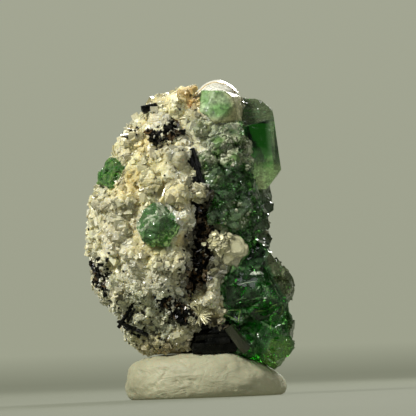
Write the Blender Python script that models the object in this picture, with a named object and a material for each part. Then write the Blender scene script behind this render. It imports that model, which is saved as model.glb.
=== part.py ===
"""Green phantom fluorite on a rock of white feldspar, mica and black tourmaline, stood on a pat of putty.

Blender units are metres, +Z is up and the photographed side faces -Y, with the fluorite on the +X side.
Sizes below are in millimetres until they are multiplied by MM. They are measured from the middle of the
putty's flat underside, and at the end everything moves so that the origin is the middle of the object's
footprint.
"""

import math
import random
from collections import namedtuple

import bmesh
import bpy
from mathutils import Euler, Matrix, Vector, noise

MM = 0.001
# The space left between two pieces that touch, and the length under which an edge left by a cut is dropped.
GAP = 0.35
SLIVER = 0.001

# Each row is a height, then the rock's left edge, right edge, front and back there.
ROCK_STATIONS = [
    (7.0, -9.0, 7.0, -6.0, 8.0),
    (11.0, -15.6, 11.5, -10.5, 12.0),
    (15.5, -18.8, 13.0, -13.0, 14.5),
    (20.0, -20.4, 13.5, -15.2, 16.5),
    (25.0, -24.4, 13.5, -17.0, 18.0),
    (29.0, -26.8, 13.5, -18.0, 19.0),
    (36.0, -27.5, 13.5, -18.5, 19.5),
    (44.0, -27.8, 13.5, -19.0, 20.0),
    (50.0, -27.2, 13.5, -19.0, 19.5),
    (53.5, -24.8, 13.5, -18.8, 19.0),
    (58.0, -22.6, 13.5, -18.0, 18.0),
    (65.0, -18.6, 12.5, -15.5, 15.5),
    (70.0, -15.2, 11.0, -13.0, 12.5),
    (74.0, -11.4, 8.5, -10.0, 9.5),
    (76.0, -7.5, 6.0, -7.0, 6.5),
    (77.4, -3.0, 3.0, -2.5, 2.5),
]
ROCK_ROUNDNESS = 2.3
ROCK_LUMPS = [(11.0, 1.3), (5.2, 1.5)]
ROCK_KEPT_FACES = 0.157

# The dark seam is a trench in the front of the rock: its middle as (x, z), its half width and its depth.
SEAM_PATH = [(0.0, 50.0), (0.5, 43.1), (1.1, 38.1), (-0.3, 33.9), (-1.5, 29.4), (-3.9, 24.5)]
SEAM_HALF_WIDTH = 3.4
SEAM_DEPTH = 3.6

# Feldspar blocks that stand out on the front, as (x, z, half size, how far they stand proud).
FRONT_BLOCKS = [
    (-9.2, 69.0, 2.4, 1.2),
    (-4.6, 58.3, 3.1, 1.6),
    (-11.8, 53.6, 2.6, 1.3),
    (-14.8, 62.6, 2.6, 1.0),
    (-17.5, 49.5, 2.8, 1.1),
    (-5.0, 50.5, 2.7, 1.6),
    (-4.2, 45.4, 2.9, 1.9),
    (-19.8, 43.0, 3.0, 1.0),
    (-9.0, 34.2, 3.2, 1.4),
    (-15.5, 35.4, 3.2, 1.2),
    (-5.2, 33.0, 2.5, 1.5),
    (-21.4, 36.6, 2.7, 1.0),
    (-14.6, 27.2, 2.9, 1.2),
    (-9.6, 28.4, 2.6, 1.3),
    (-20.0, 27.0, 2.6, 1.0),
    (-13.4, 21.0, 2.4, 1.0),
    (0.6, 50.2, 2.0, 0.9),
    (2.6, 28.8, 2.1, 1.0),
    (1.8, 24.6, 2.0, 1.0),
    (-9.5, 14.6, 2.2, 1.0),
    (-4.2, 71.8, 2.4, 0.9),
    (-1.4, 74.3, 2.6, 0.8),
    (5.6, 74.2, 3.3, 0.8),
    (9.0, 73.4, 2.8, 0.4),
]
SCATTERED_BLOCKS = 14
SCATTERED_BLOCK_SIZE = (2.0, 3.4)

# The upper crystal: each face as the azimuth and elevation it looks along, and its distance from the centre.
TOWER_CENTRE = (15.0, 1.0, 63.0)
TOWER_FACES = [
    (-99.0, 50.0, 8.7),
    (-80.0, 0.0, 7.9),
    (-35.0, 0.0, 7.9),
    (0.0, 6.0, 5.3),
    (0.0, 46.0, 8.9),
    (0.0, 61.0, 10.1),
    (0.0, -39.0, 9.1),
    (-75.0, -36.0, 9.4),
    (-150.0, 0.0, 6.8),
    (90.0, 0.0, 7.6),
    (48.0, 2.0, 7.8),
    (80.0, 52.0, 9.0),
    (90.0, -45.0, 9.6),
    (150.0, 10.0, 6.6),
    (180.0, 0.0, 5.6),
    (0.0, -90.0, 11.6),
]

# The lower cluster: its two large crystals by their faces, and the crystals round them by place and size.
UPPER_LARGE_CENTRE = (14.2, -2.0, 27.6)
UPPER_LARGE_FACES = [
    (0.0, 38.0, 7.2),
    (0.0, 7.0, 8.2),
    (0.0, -25.0, 8.4),
    (-48.0, 12.0, 10.6),
    (-84.0, 42.0, 12.4),
    (-92.0, -2.0, 13.2),
    (-80.0, -38.0, 12.4),
    (-138.0, 2.0, 14.8),
    (-165.0, 44.0, 9.2),
    (-150.0, -40.0, 14.2),
    (180.0, 0.0, 9.2),
    (60.0, 25.0, 7.6),
    (90.0, 0.0, 7.4),
    (75.0, -35.0, 8.0),
]
LOWER_LARGE_CENTRE = (14.7, -1.5, 15.0)
LOWER_LARGE_FACES = [
    (0.0, 2.0, 7.5),
    (0.0, 45.0, 8.4),
    (0.0, -28.0, 7.6),
    (0.0, -41.0, 7.8),
    (-42.0, -12.0, 8.4),
    (-98.0, 4.0, 9.4),
    (-70.0, 40.0, 8.6),
    (-140.0, 8.0, 7.6),
    (-120.0, -45.0, 8.6),
    (180.0, 0.0, 7.0),
    (55.0, 5.0, 7.6),
    (95.0, 0.0, 7.8),
    (90.0, -40.0, 8.2),
    (0.0, 90.0, 7.6),
    (0.0, -90.0, 8.6),
]
# Octahedral crystals as x, y, z, half size and the turn about each axis in degrees.
LOWER_CLUSTER = [
    (18.6, -3.0, 21.6, 2.5, (20, 42, 10)),
    (14.0, 9.5, 27.5, 5.0, (12, 30, 38)),
    (14.5, 8.5, 16.0, 4.8, (40, 15, 20)),
    (12.0, 14.5, 22.0, 3.8, (5, 50, 65)),
    (7.4, -11.4, 19.8, 2.4, (35, 10, 50)),
    (10.6, -9.6, 13.2, 2.7, (15, 62, 24)),
]
SIDE_DRUSE = [
    (13.5, 3.0, 47.4, 3.9, (45, 3, 4)),
    (13.0, -1.5, 43.2, 3.4, (40, 12, 8)),
    (12.6, 1.5, 37.4, 3.5, (52, -8, 12)),
    (13.2, 10.0, 51.5, 4.6, (30, 22, 35)),
    (12.8, 13.0, 43.5, 4.2, (12, 44, 20)),
    (12.8, 7.0, 41.0, 4.0, (60, 25, 5)),
    (12.0, 12.0, 35.5, 3.7, (25, 60, 48)),
    (11.0, 14.0, 59.5, 4.0, (8, 18, 70)),
    (8.8, 11.5, 66.5, 3.6, (50, 33, 15)),
    (11.8, 5.0, 32.8, 3.0, (33, 5, 40)),
]
FRONT_CRUST = [
    (9.6, -11.0, 64.6, 2.7, (10, 25, 40)),
    (12.6, -8.6, 61.4, 2.6, (55, 12, 20)),
    (6.0, -13.4, 61.6, 2.6, (30, 48, 5)),
    (2.6, -15.4, 58.0, 2.2, (15, 33, 70)),
    (8.4, -13.0, 58.0, 2.9, (42, 8, 25)),
    (13.0, -10.0, 56.6, 2.9, (20, 55, 35)),
    (4.4, -15.4, 54.0, 2.5, (60, 20, 12)),
    (9.2, -13.2, 53.0, 3.0, (25, 38, 62)),
    (13.9, -8.8, 51.4, 3.0, (48, 14, 30)),
    (6.2, -15.0, 49.0, 2.7, (18, 52, 8)),
    (10.8, -12.2, 47.6, 3.1, (36, 27, 45)),
    (14.8, -7.0, 46.4, 2.4, (10, 40, 20)),
    (8.4, -13.8, 43.6, 2.8, (52, 16, 33)),
    (12.6, -9.8, 42.2, 2.7, (28, 45, 10)),
    (4.6, -15.6, 44.6, 2.2, (40, 30, 55)),
    (10.2, -12.2, 39.4, 2.4, (14, 22, 48)),
]
FRONT_CRYSTAL = (-9.8, -18.4, 43.0, 4.2, (38, 8, 28))
LEFT_CRYSTAL = (-20.0, -9.4, 55.8, 3.3, (20, 30, 50))
TOP_CRYSTAL_CENTRE = (6.0, -8.2, 72.0)
TOP_CRYSTAL_FACES = [
    (-90.0, 8.0, 4.4),
    (-12.0, 4.0, 4.5),
    (-55.0, -30.0, 4.7),
    (-128.0, 22.0, 4.7),
    (180.0, 6.0, 4.5),
    (0.0, 84.0, 3.8),
    (-20.0, 48.0, 4.6),
    (-160.0, -42.0, 4.5),
    (0.0, -86.0, 3.9),
    (90.0, 0.0, 4.6),
]

# Tourmaline prisms as (start, end, radius), each point as x, y, z.
TOURMALINE_BLADE = [((1.0, -17.0, 51.6), (-1.2, -16.6, 60.4), 1.25)]
TOURMALINE_TOP = [((-13.2, -8.4, 71.2), (-8.9, -9.2, 73.3), 1.15)]
TOURMALINE_UPPER = [
    ((-10.2, -15.8, 63.6), (-6.4, -15.4, 65.6), 1.3),
    ((-8.6, -16.0, 65.0), (-5.0, -14.8, 68.0), 1.4),
    ((-6.6, -15.6, 64.2), (-3.6, -15.6, 65.8), 1.2),
    ((-11.6, -14.6, 65.8), (-8.0, -15.6, 64.4), 0.9),
]
TOURMALINE_SEAM = [
    ((-0.2, -15.4, 50.0), (0.6, -14.8, 44.0), 1.6),
    ((-0.6, -14.6, 45.8), (2.6, -14.4, 41.0), 1.8),
    ((2.0, -14.6, 43.0), (0.2, -14.2, 37.0), 1.9),
    ((1.9, -14.3, 39.0), (-1.0, -14.1, 33.0), 2.1),
    ((1.5, -13.7, 34.6), (-1.4, -14.0, 29.4), 2.2),
    ((-0.4, -13.9, 32.0), (-3.2, -13.8, 26.6), 1.9),
]
TOURMALINE_BASE = [((-2.6, -9.6, 13.6), (9.8, -8.2, 14.6), 4.9)]
TOURMALINE_LEFT = [
    ((-26.4, -4.4, 34.4), (-24.0, -8.6, 31.0), 1.6),
    ((-25.6, -7.0, 33.2), (-25.0, -4.6, 28.8), 1.7),
    ((-24.4, -8.4, 31.8), (-22.6, -9.8, 28.4), 1.5),
    ((-25.8, -3.6, 30.8), (-22.6, -7.6, 27.0), 1.7),
]
TOURMALINE_LOWER = [
    ((-10.6, -15.6, 24.6), (-6.6, -16.2, 23.2), 1.3),
    ((-8.0, -16.0, 24.2), (-5.2, -15.8, 20.8), 1.5),
    ((-6.4, -15.8, 22.8), (-2.6, -15.0, 20.8), 1.4),
    ((-7.6, -15.4, 21.6), (-4.2, -14.8, 18.6), 1.3),
]
TOURMALINE_PAIR = [
    ((-20.6, -7.4, 19.4), (-13.6, -12.6, 16.0), 0.85),
    ((-20.4, -7.6, 19.0), (-16.8, -12.0, 24.0), 0.85),
]

# Mica sheets as (centre, azimuth and elevation of the sheet's normal, half width, thickness).
MICA_BOOK = [
    ((8.9, -14.8, 36.6), -84.0, -8.0, 3.2, 1.4),
    ((8.4, -13.7, 36.2), -98.0, 4.0, 3.5, 1.4),
    ((9.4, -12.6, 35.0), -72.0, -16.0, 3.2, 1.6),
]
MICA_BUNCH = [
    ((3.9, -16.2, 38.6), -100.0, 38.0, 2.3, 1.3),
    ((5.4, -15.6, 37.4), -74.0, 52.0, 2.2, 1.2),
    ((4.4, -15.0, 36.0), -120.0, 14.0, 2.3, 1.4),
    ((4.2, -15.0, 40.4), -60.0, 20.0, 2.0, 1.2),
]
# The cap's sheets bend over an arch. Each stretch: x, y and z of its middle, its fall to the right, and its
# half length.
MICA_CAP = [
    (1.3, -4.4, 75.4, -52.0, 1.7),
    (3.0, -4.0, 77.1, -36.0, 1.7),
    (5.4, -3.6, 78.0, -6.0, 1.8),
    (7.8, -3.7, 77.6, 18.0, 1.8),
    (9.8, -4.0, 76.3, 42.0, 1.7),
]
MICA_CAP_HALF_DEPTH = 4.6
MICA_CAP_HALF_THICKNESS = 0.95
# Blades of the fan, as the angle that each leans from upright, its length and its half depth.
MICA_FAN_ROOT = (-1.1, -12.9, 18.2)
MICA_FAN_BLADES = [(-8, 5.0, 1.3), (17, 6.0, 1.8), (43, 6.2, 1.5), (70, 5.8, 1.9), (98, 4.8, 1.4)]

PUTTY_HALF_LENGTH = 20.1
PUTTY_HALF_DEPTH = 16.5
# The putty slopes down to the right: its top as (x, z).
PUTTY_TOP = [(-20.0, 10.6), (-12.0, 11.1), (7.0, 11.0), (12.0, 9.2), (17.0, 6.9), (20.0, 6.0)]
# Its rounded side, from the middle of the underside up: share of the half width, then share of the height.
PUTTY_PROFILE = [
    (0.0, 0.0),
    (0.94, 0.0),
    (0.98, 0.1),
    (1.0, 0.3),
    (0.99, 0.52),
    (0.95, 0.72),
    (0.87, 0.88),
    (0.74, 0.97),
    (0.5, 1.0),
    (0.25, 1.0),
    (0.0, 1.0),
]
PUTTY_SECTORS = 32

Crystal = namedtuple("Crystal", "centre faces")


def clear_scene():
    for existing in list(bpy.data.objects):
        bpy.data.objects.remove(existing)


def finish(name, colour, roughness, clear=0.0, metallic=0.0):
    """A material: colour is linear RGB, and clear is how much light passes through."""
    material = bpy.data.materials.new(name)
    material.use_nodes = True
    shader = material.node_tree.nodes["Principled BSDF"]
    shader.inputs["Base Color"].default_value = (*colour, 1.0)
    shader.inputs["Roughness"].default_value = roughness
    shader.inputs["Metallic"].default_value = metallic
    shader.inputs["Transmission Weight"].default_value = clear
    shader.inputs["IOR"].default_value = 1.434 if clear else 1.5
    return material


def direction(azimuth, elevation):
    """The unit vector that looks along an azimuth from +X towards +Y, and an elevation above level."""
    around, up = math.radians(azimuth), math.radians(elevation)
    return Vector((math.cos(around) * math.cos(up), math.sin(around) * math.cos(up), math.sin(up)))


def between(table, at):
    """Reads a table of rows by its first column, with straight lines between the rows."""
    at = min(max(at, table[0][0]), table[-1][0])
    for low, high in zip(table, table[1:]):
        if at <= high[0]:
            share = (at - low[0]) / (high[0] - low[0])
            return [a + (b - a) * share for a, b in zip(low[1:], high[1:])]
    return list(table[-1][1:])


def faced_crystal(centre, faces):
    """A crystal from a table of its faces."""
    return Crystal(Vector(centre), [(direction(az, el), distance) for az, el, distance in faces])


def fluorite_crystal(place, cube=1.42, octahedron=1.0, dodecahedron=None):
    """A fluorite crystal whose cube, octahedron and dodecahedron faces lie at these multiples of its size."""
    *centre, size, turn = place
    rotation = Euler([math.radians(angle) for angle in turn]).to_matrix()
    faces = []
    for x in (-1, 0, 1):
        for y in (-1, 0, 1):
            for z in (-1, 0, 1):
                corners = abs(x) + abs(y) + abs(z)
                reach = (None, cube, dodecahedron, octahedron)[corners]
                if reach:
                    faces.append((rotation @ Vector((x, y, z)).normalized(), size * reach))
    return Crystal(Vector(centre), faces)


def prism(start, end, radius, sides=6, point=0.8):
    """A tourmaline prism with low pointed ends."""
    start, end = Vector(start), Vector(end)
    along = (end - start).normalized()
    half = (end - start).length / 2
    across = along.orthogonal().normalized()
    faces = [(along, half + radius * 0.25), (-along, half + radius * 0.25)]
    for side in range(sides):
        out = Matrix.Rotation(2 * math.pi * side / sides, 3, along) @ across
        faces.append((out, radius * (1.0 if side % 2 else 0.9)))
        if side % 2:
            for tip in (along, -along):
                slope = (out * point + tip).normalized()
                faces.append((slope, tip.dot(slope) * half + out.dot(slope) * radius * 0.7))
    return Crystal((start + end) / 2, faces)


def mica_sheet(centre, azimuth, elevation, half_width, thickness):
    """A six-sided sheet of mica."""
    normal = direction(azimuth, elevation)
    across = normal.orthogonal().normalized()
    faces = [(normal, thickness / 2), (-normal, thickness / 2)]
    for side in range(6):
        out = Matrix.Rotation(math.radians(60 * side + 14), 3, normal) @ across
        faces.append((out, half_width * (0.9, 1.0, 0.86)[side % 3]))
    return Crystal(Vector(centre), faces)


def mica_arch_part(x, y, z, fall, half_length):
    """One stretch of the cap's bent sheets."""
    angle = math.radians(fall)
    along = Vector((math.cos(angle), 0.04 * half_length, -math.sin(angle))).normalized()
    up = Vector((math.sin(angle), 0.0, math.cos(angle)))
    thickness = MICA_CAP_HALF_THICKNESS * (0.8 + 0.12 * half_length)
    faces = [(along, half_length), (-along, half_length), (up, thickness), (-up, thickness)]
    faces += [(direction(-86, 20), MICA_CAP_HALF_DEPTH), (direction(94, -8), MICA_CAP_HALF_DEPTH)]
    return Crystal(Vector((x, y, z)), faces)


def mica_blade(root, lean, length, half_depth):
    """A blade of the fan: thin across the lean, and cut square at its tip."""
    angle = math.radians(lean)
    along = Vector((math.sin(angle), -0.2 * half_depth, math.cos(angle))).normalized()
    across = Vector((math.cos(angle), 0.0, -math.sin(angle)))
    depth = along.cross(across).normalized()
    centre = Vector(root) + along * length / 2
    faces = [(along, length / 2), (-along, length / 2)]
    faces += [(across, 1.1), (-across, 1.1), (depth, half_depth), (-depth, half_depth)]
    faces += [((along + across * 0.8).normalized(), length * 0.42 + 0.35)]
    return Crystal(centre, faces)


def feldspar_block(centre, half, rng):
    """A blunt block with one or two corners broken off."""
    turn = Euler([rng.uniform(0, math.pi) for _ in range(3)]).to_matrix()
    faces = []
    for axis, share in zip(turn.col, (1.0, rng.uniform(0.7, 0.9), rng.uniform(0.6, 0.85))):
        faces += [(axis.copy(), half * share), (-axis, half * share)]
    for _ in range(3):
        corner = Vector([rng.choice((-1, 1)) * rng.uniform(0.5, 1.0) for _ in range(3)]).normalized()
        faces.append((turn @ corner, half * rng.uniform(0.95, 1.1)))
    return Crystal(Vector(centre), faces)


def solid_of(crystal, grow=0.0):
    """The convex solid inside all of a crystal's faces, with each face moved out by grow."""
    bm = bmesh.new()
    reach = 3 * max(distance for _, distance in crystal.faces) * MM
    bmesh.ops.create_cube(bm, size=2 * reach)
    for facing, distance in crystal.faces:
        geometry = bm.verts[:] + bm.edges[:] + bm.faces[:]
        at = facing * (distance + grow) * MM
        cut = bmesh.ops.bisect_plane(bm, geom=geometry, plane_co=at, plane_no=facing, clear_outer=True)
        rim = [item for item in cut["geom_cut"] if isinstance(item, bmesh.types.BMEdge)]
        if rim:
            bmesh.ops.contextual_create(bm, geom=rim)
    bmesh.ops.remove_doubles(bm, verts=bm.verts[:], dist=0.002 * MM)
    bmesh.ops.translate(bm, verts=bm.verts[:], vec=crystal.centre * MM)
    bmesh.ops.recalc_face_normals(bm, faces=bm.faces[:])
    return bm


def object_from(name, bm):
    mesh = bpy.data.meshes.new(name)
    bm.to_mesh(mesh)
    bm.free()
    made = bpy.data.objects.new(name, mesh)
    bpy.context.scene.collection.objects.link(made)
    return made


def box_of(thing):
    """The lowest and highest corner of an object's mesh."""
    points = [vertex.co for vertex in thing.data.vertices]
    low = Vector([min(point[i] for point in points) for i in range(3)])
    high = Vector([max(point[i] for point in points) for i in range(3)])
    return low, high


def boxes_meet(a, b):
    (a_low, a_high), (b_low, b_high) = box_of(a), box_of(b)
    return all(a_low[i] < b_high[i] and b_low[i] < a_high[i] for i in range(3))


def take_evaluated(thing):
    """Gives an object the mesh that its modifiers make, and removes them."""
    graph = bpy.context.evaluated_depsgraph_get()
    mesh = bpy.data.meshes.new_from_object(thing.evaluated_get(graph))
    thing.modifiers.clear()
    thing.data = mesh


def combine(target, tool, operation):
    """Joins a tool to the target or cuts it away, and removes the tool."""
    if operation == "UNION" or boxes_meet(target, tool):
        modifier = target.modifiers.new("combine", "BOOLEAN")
        modifier.operation = operation
        modifier.object = tool
        take_evaluated(target)
    bpy.data.objects.remove(tool)


def keep_largest(thing):
    """Drops the slivers and crumbs that a cut has left beside the largest body."""
    bm = bmesh.new()
    bm.from_mesh(thing.data)
    bmesh.ops.remove_doubles(bm, verts=bm.verts[:], dist=SLIVER * MM)
    bmesh.ops.dissolve_degenerate(bm, edges=bm.edges[:], dist=SLIVER * MM)
    bodies, seen = [], set()
    for first in bm.faces:
        if first in seen:
            continue
        body, waiting = [], [first]
        seen.add(first)
        while waiting:
            here = waiting.pop()
            body.append(here)
            for edge in here.edges:
                for other in edge.link_faces:
                    if len(edge.link_faces) == 2 and other not in seen:
                        seen.add(other)
                        waiting.append(other)
        bodies.append(body)
    bodies.sort(key=len)
    crumbs = [face for body in bodies[:-1] for face in body]
    bmesh.ops.delete(bm, geom=crumbs, context="FACES")
    bm.to_mesh(thing.data)
    bm.free()


def grown_together(name, crystals, clear_of=(), grow=0.0):
    """One solid from crystals that overlap, kept clear of the crystals of its neighbours."""
    made = object_from(name, solid_of(crystals[0], grow))
    for crystal in crystals[1:]:
        combine(made, object_from("joined", solid_of(crystal, grow)), "UNION")
    for crystal in clear_of:
        combine(made, object_from("cutter", solid_of(crystal, GAP)), "DIFFERENCE")
    keep_largest(made)
    return made


def superellipse(angle, roundness):
    c, s = math.cos(angle), math.sin(angle)
    reach = (abs(c) ** roundness + abs(s) ** roundness) ** (-1 / roundness)
    return c * reach, s * reach


def seam_depth(x, z):
    """How deep the seam is at a point of the front."""
    nearest = min(
        distance_to_stretch(Vector((x, z)), Vector(a), Vector(b)) for a, b in zip(SEAM_PATH, SEAM_PATH[1:])
    )
    share = max(0.0, 1.0 - nearest / (1.6 * SEAM_HALF_WIDTH))
    return SEAM_DEPTH * share * share * (3 - 2 * share)


def distance_to_stretch(point, start, end):
    along = end - start
    share = min(max((point - start).dot(along) / along.length_squared, 0.0), 1.0)
    return (point - start - along * share).length


def rock_surface(facing):
    """The point of the rock's smooth form that a unit vector from its middle stands for."""
    bottom, top = ROCK_STATIONS[0][0], ROCK_STATIONS[-1][0]
    height = bottom + (top - bottom) * (1 + facing.z) / 2
    left, right, front, back = between(ROCK_STATIONS, height)
    share = superellipse(math.atan2(facing.y, facing.x), ROCK_ROUNDNESS)
    x = (left + right) / 2 + (right - left) / 2 * share[0]
    y = (front + back) / 2 + (back - front) / 2 * share[1]
    if facing.y < 0:
        y += seam_depth(x, height) * min(1.0, -2 * facing.y)
    return Vector((x, y, height))


def rock_front(x, z):
    """The y of the rock's smooth front at a place in the front view."""
    left, right, front, back = between(ROCK_STATIONS, z)
    share = min(0.98, abs(x - (left + right) / 2) / ((right - left) / 2))
    reach = (1 - share**ROCK_ROUNDNESS) ** (1 / ROCK_ROUNDNESS)
    return (front + back) / 2 - (back - front) / 2 * reach


def lump_height(point):
    """Rounded lumps with creases between them, at two sizes."""
    height = 0.0
    for size, rise in ROCK_LUMPS:
        nearest = noise.voronoi(point / size)[0][0]
        height += rise * (0.3 - nearest)
    return height


def rough_rock():
    """The lumpy body of the rock, before its blocks and the sockets of its crystals."""
    bm = bmesh.new()
    bmesh.ops.create_icosphere(bm, subdivisions=5, radius=1.0)
    for vertex in bm.verts:
        facing = vertex.co.normalized()
        out = Vector((facing.x, facing.y, facing.z * 0.6)).normalized()
        point = rock_surface(facing)
        vertex.co = (point + out * lump_height(point)) * MM
    rock = object_from("matrix_rock", bm)
    decimate = rock.modifiers.new("fewer faces", "DECIMATE")
    decimate.ratio = ROCK_KEPT_FACES
    take_evaluated(rock)
    return rock


def scattered_blocks(rng, keep_clear):
    """Blocks round the rock, away from its crystals."""
    blocks = []
    tries = 0
    while len(blocks) < SCATTERED_BLOCKS and tries < 600:
        tries += 1
        facing = Vector((rng.gauss(0, 1), rng.gauss(0, 1), rng.gauss(0, 1))).normalized()
        half = rng.uniform(*SCATTERED_BLOCK_SIZE)
        centre = rock_surface(facing) - facing * half * 0.7
        if centre.z < 14 or any((centre - spot).length < half + reach for spot, reach in keep_clear):
            continue
        blocks.append(feldspar_block(centre, half, rng))
        keep_clear.append((centre, half * 1.1))
    return blocks


def front_blocks(rng):
    """The blocks that the front shows, each standing proud of the rock's face."""
    blocks = []
    for x, z, half, proud in FRONT_BLOCKS:
        centre = (x, rock_front(x, z) + half - proud, z)
        blocks.append(feldspar_block(centre, half, rng))
    return blocks


def putty_form(grow=0.0):
    """The pat of putty, flat below, round at its side and sloping down to the right."""
    bm = bmesh.new()
    rings = []
    for share_out, share_up in PUTTY_PROFILE:
        ring = []
        for sector in range(PUTTY_SECTORS if share_out else 1):
            angle = 2 * math.pi * sector / PUTTY_SECTORS
            c, s = superellipse(angle, 2.3)
            wave = 1 + 0.022 * math.sin(3 * angle + 0.7)
            x = (PUTTY_HALF_LENGTH + grow) * c * share_out * wave
            y = (PUTTY_HALF_DEPTH + grow) * s * share_out * wave
            dimple = 0.6 * noise.noise(Vector((x, y, 0)) / 6.0) * share_up
            z = (between(PUTTY_TOP, x)[0] + dimple + 2 * grow) * share_up - grow
            ring.append(bm.verts.new(Vector((x, y, z)) * MM))
        rings.append(ring)
    for lower, upper in zip(rings, rings[1:]):
        for sector in range(PUTTY_SECTORS):
            after = (sector + 1) % PUTTY_SECTORS
            low = [lower[0]] if len(lower) == 1 else [lower[sector], lower[after]]
            high = [upper[0]] if len(upper) == 1 else [upper[after], upper[sector]]
            bm.faces.new(low + high)
    bmesh.ops.recalc_face_normals(bm, faces=bm.faces[:])
    return bm


def crystal_groups():
    """Every piece but the rock and the putty, by name. Each is kept clear of those above it in the list."""
    groups = {
        "fluorite_tower": [faced_crystal(TOWER_CENTRE, TOWER_FACES)],
        "fluorite_pale_top": [faced_crystal(TOP_CRYSTAL_CENTRE, TOP_CRYSTAL_FACES)],
        "fluorite_front": [fluorite_crystal(FRONT_CRYSTAL, cube=1.0, octahedron=1.22, dodecahedron=1.1)],
        "fluorite_left": [fluorite_crystal(LEFT_CRYSTAL, cube=1.0, octahedron=1.3, dodecahedron=1.2)],
        "fluorite_cluster_lower": [
            faced_crystal(UPPER_LARGE_CENTRE, UPPER_LARGE_FACES),
            faced_crystal(LOWER_LARGE_CENTRE, LOWER_LARGE_FACES),
            *[fluorite_crystal(place) for place in LOWER_CLUSTER],
        ],
        "mica_book": [mica_sheet(*sheet) for sheet in MICA_BOOK],
        "mica_bunch": [mica_sheet(*sheet) for sheet in MICA_BUNCH],
        "fluorite_crust_front": [fluorite_crystal(place, cube=1.3) for place in FRONT_CRUST],
        "fluorite_druse_side": [fluorite_crystal(place) for place in SIDE_DRUSE],
        "mica_cap": [mica_arch_part(*stretch) for stretch in MICA_CAP],
        "mica_fan": [mica_blade(MICA_FAN_ROOT, *blade) for blade in MICA_FAN_BLADES],
        "tourmaline_base": [prism(*rod, sides=8, point=0.5) for rod in TOURMALINE_BASE],
        "tourmaline_blade": [prism(*rod, point=1.6) for rod in TOURMALINE_BLADE],
        "tourmaline_prism_top": [prism(*rod) for rod in TOURMALINE_TOP],
        "tourmaline_group_upper": [prism(*rod) for rod in TOURMALINE_UPPER],
        "tourmaline_seam": [prism(*rod) for rod in TOURMALINE_SEAM],
        "tourmaline_group_left": [prism(*rod) for rod in TOURMALINE_LEFT],
        "tourmaline_group_lower": [prism(*rod) for rod in TOURMALINE_LOWER],
        "tourmaline_pair": [prism(*rod) for rod in TOURMALINE_PAIR],
    }
    return groups


def material_of(name, finishes):
    """A piece's material follows from the first word of its name."""
    if name == "fluorite_pale_top":
        return finishes["pale"]
    return finishes[name.split("_")[0]]


def reach_of(crystal):
    """A rough radius of a crystal."""
    return sum(distance for _, distance in crystal.faces) / len(crystal.faces)


def main():
    clear_scene()
    finishes = {
        "fluorite": finish("green fluorite", (0.05, 0.22, 0.07), 0.08, clear=0.9),
        "pale": finish("pale fluorite", (0.38, 0.52, 0.30), 0.25, clear=0.5),
        "mica": finish("silvery mica", (0.72, 0.66, 0.48), 0.3),
        "tourmaline": finish("black tourmaline", (0.012, 0.012, 0.014), 0.25),
        "matrix": finish("feldspar rock", (0.62, 0.56, 0.38), 0.6),
        "putty": finish("putty", (0.50, 0.46, 0.34), 0.7),
    }
    groups = crystal_groups()
    pieces = []
    taken = []
    for name, crystals in groups.items():
        piece = grown_together(name, crystals, clear_of=taken)
        combine(piece, object_from("cutter", putty_form(GAP)), "DIFFERENCE")
        keep_largest(piece)
        pieces.append(piece)
        taken += crystals

    rng = random.Random(11)
    rock = rough_rock()
    keep_clear = [(crystal.centre, reach_of(crystal)) for crystal in taken]
    for block in front_blocks(rng) + scattered_blocks(rng, keep_clear):
        combine(rock, object_from("joined", solid_of(block)), "UNION")
    for crystals in groups.values():
        combine(rock, grown_together("cutter", crystals, grow=GAP), "DIFFERENCE")
    combine(rock, object_from("cutter", putty_form(GAP)), "DIFFERENCE")
    keep_largest(rock)
    pieces.append(rock)
    pieces.append(object_from("putty_base", putty_form()))

    boxes = [box_of(piece) for piece in pieces]
    low = Vector([min(box[0][i] for box in boxes) for i in range(3)])
    high = Vector([max(box[1][i] for box in boxes) for i in range(3)])
    shift = Vector((-(low.x + high.x) / 2, -(low.y + high.y) / 2, -low.z))
    for piece in pieces:
        piece.data.transform(Matrix.Translation(shift))
        piece.data.materials.clear()
        piece.data.materials.append(material_of(piece.name, finishes))
        print(piece.name, len(piece.data.polygons))
    print("moved by", [round(step / MM, 2) for step in shift])


main()
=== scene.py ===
"""Looks of the green fluorite specimen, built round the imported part.

Lengths are in metres unless a name ends in _mm. Places named in millimetres are measured from PLACE, the
middle of the putty's underside, with x to the right, y to the back and z up.
"""

import math
import random

import bmesh
import bpy
import numpy as np
from mathutils import Euler, Matrix, Vector, noise
from mathutils.bvhtree import BVHTree
from mathutils.kdtree import KDTree


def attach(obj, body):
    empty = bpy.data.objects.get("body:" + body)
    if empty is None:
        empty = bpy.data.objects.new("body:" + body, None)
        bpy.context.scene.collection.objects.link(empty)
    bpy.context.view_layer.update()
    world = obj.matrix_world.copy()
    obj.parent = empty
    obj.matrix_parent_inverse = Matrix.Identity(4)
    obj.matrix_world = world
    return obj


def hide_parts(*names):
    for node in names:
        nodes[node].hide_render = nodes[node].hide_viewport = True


MM = 0.001
# The part's origin is the middle of its whole footprint. Seen from there, the middle of the putty is here.
PLACE = Vector((2.59, 1.27, 0.0)) * MM
# Blender takes the offsets of its noise vectors from the clock unless they get a seed.
noise.seed_set(1)

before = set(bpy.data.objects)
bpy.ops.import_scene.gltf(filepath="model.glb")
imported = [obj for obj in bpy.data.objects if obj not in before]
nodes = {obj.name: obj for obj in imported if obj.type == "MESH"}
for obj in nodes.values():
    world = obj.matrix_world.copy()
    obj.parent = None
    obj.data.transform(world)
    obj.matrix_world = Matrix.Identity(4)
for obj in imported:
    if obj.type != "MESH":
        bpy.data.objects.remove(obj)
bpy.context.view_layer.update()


def srgb(r, g, b):
    """A colour as seen on a screen, 0 to 255, as linear RGB."""
    shares = [value / 255 for value in (r, g, b)]
    linear = [share / 12.92 if share <= 0.04045 else ((share + 0.055) / 1.055) ** 2.4 for share in shares]
    return Vector(linear)


def clamp(value):
    return min(1.0, max(0.0, value))


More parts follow.
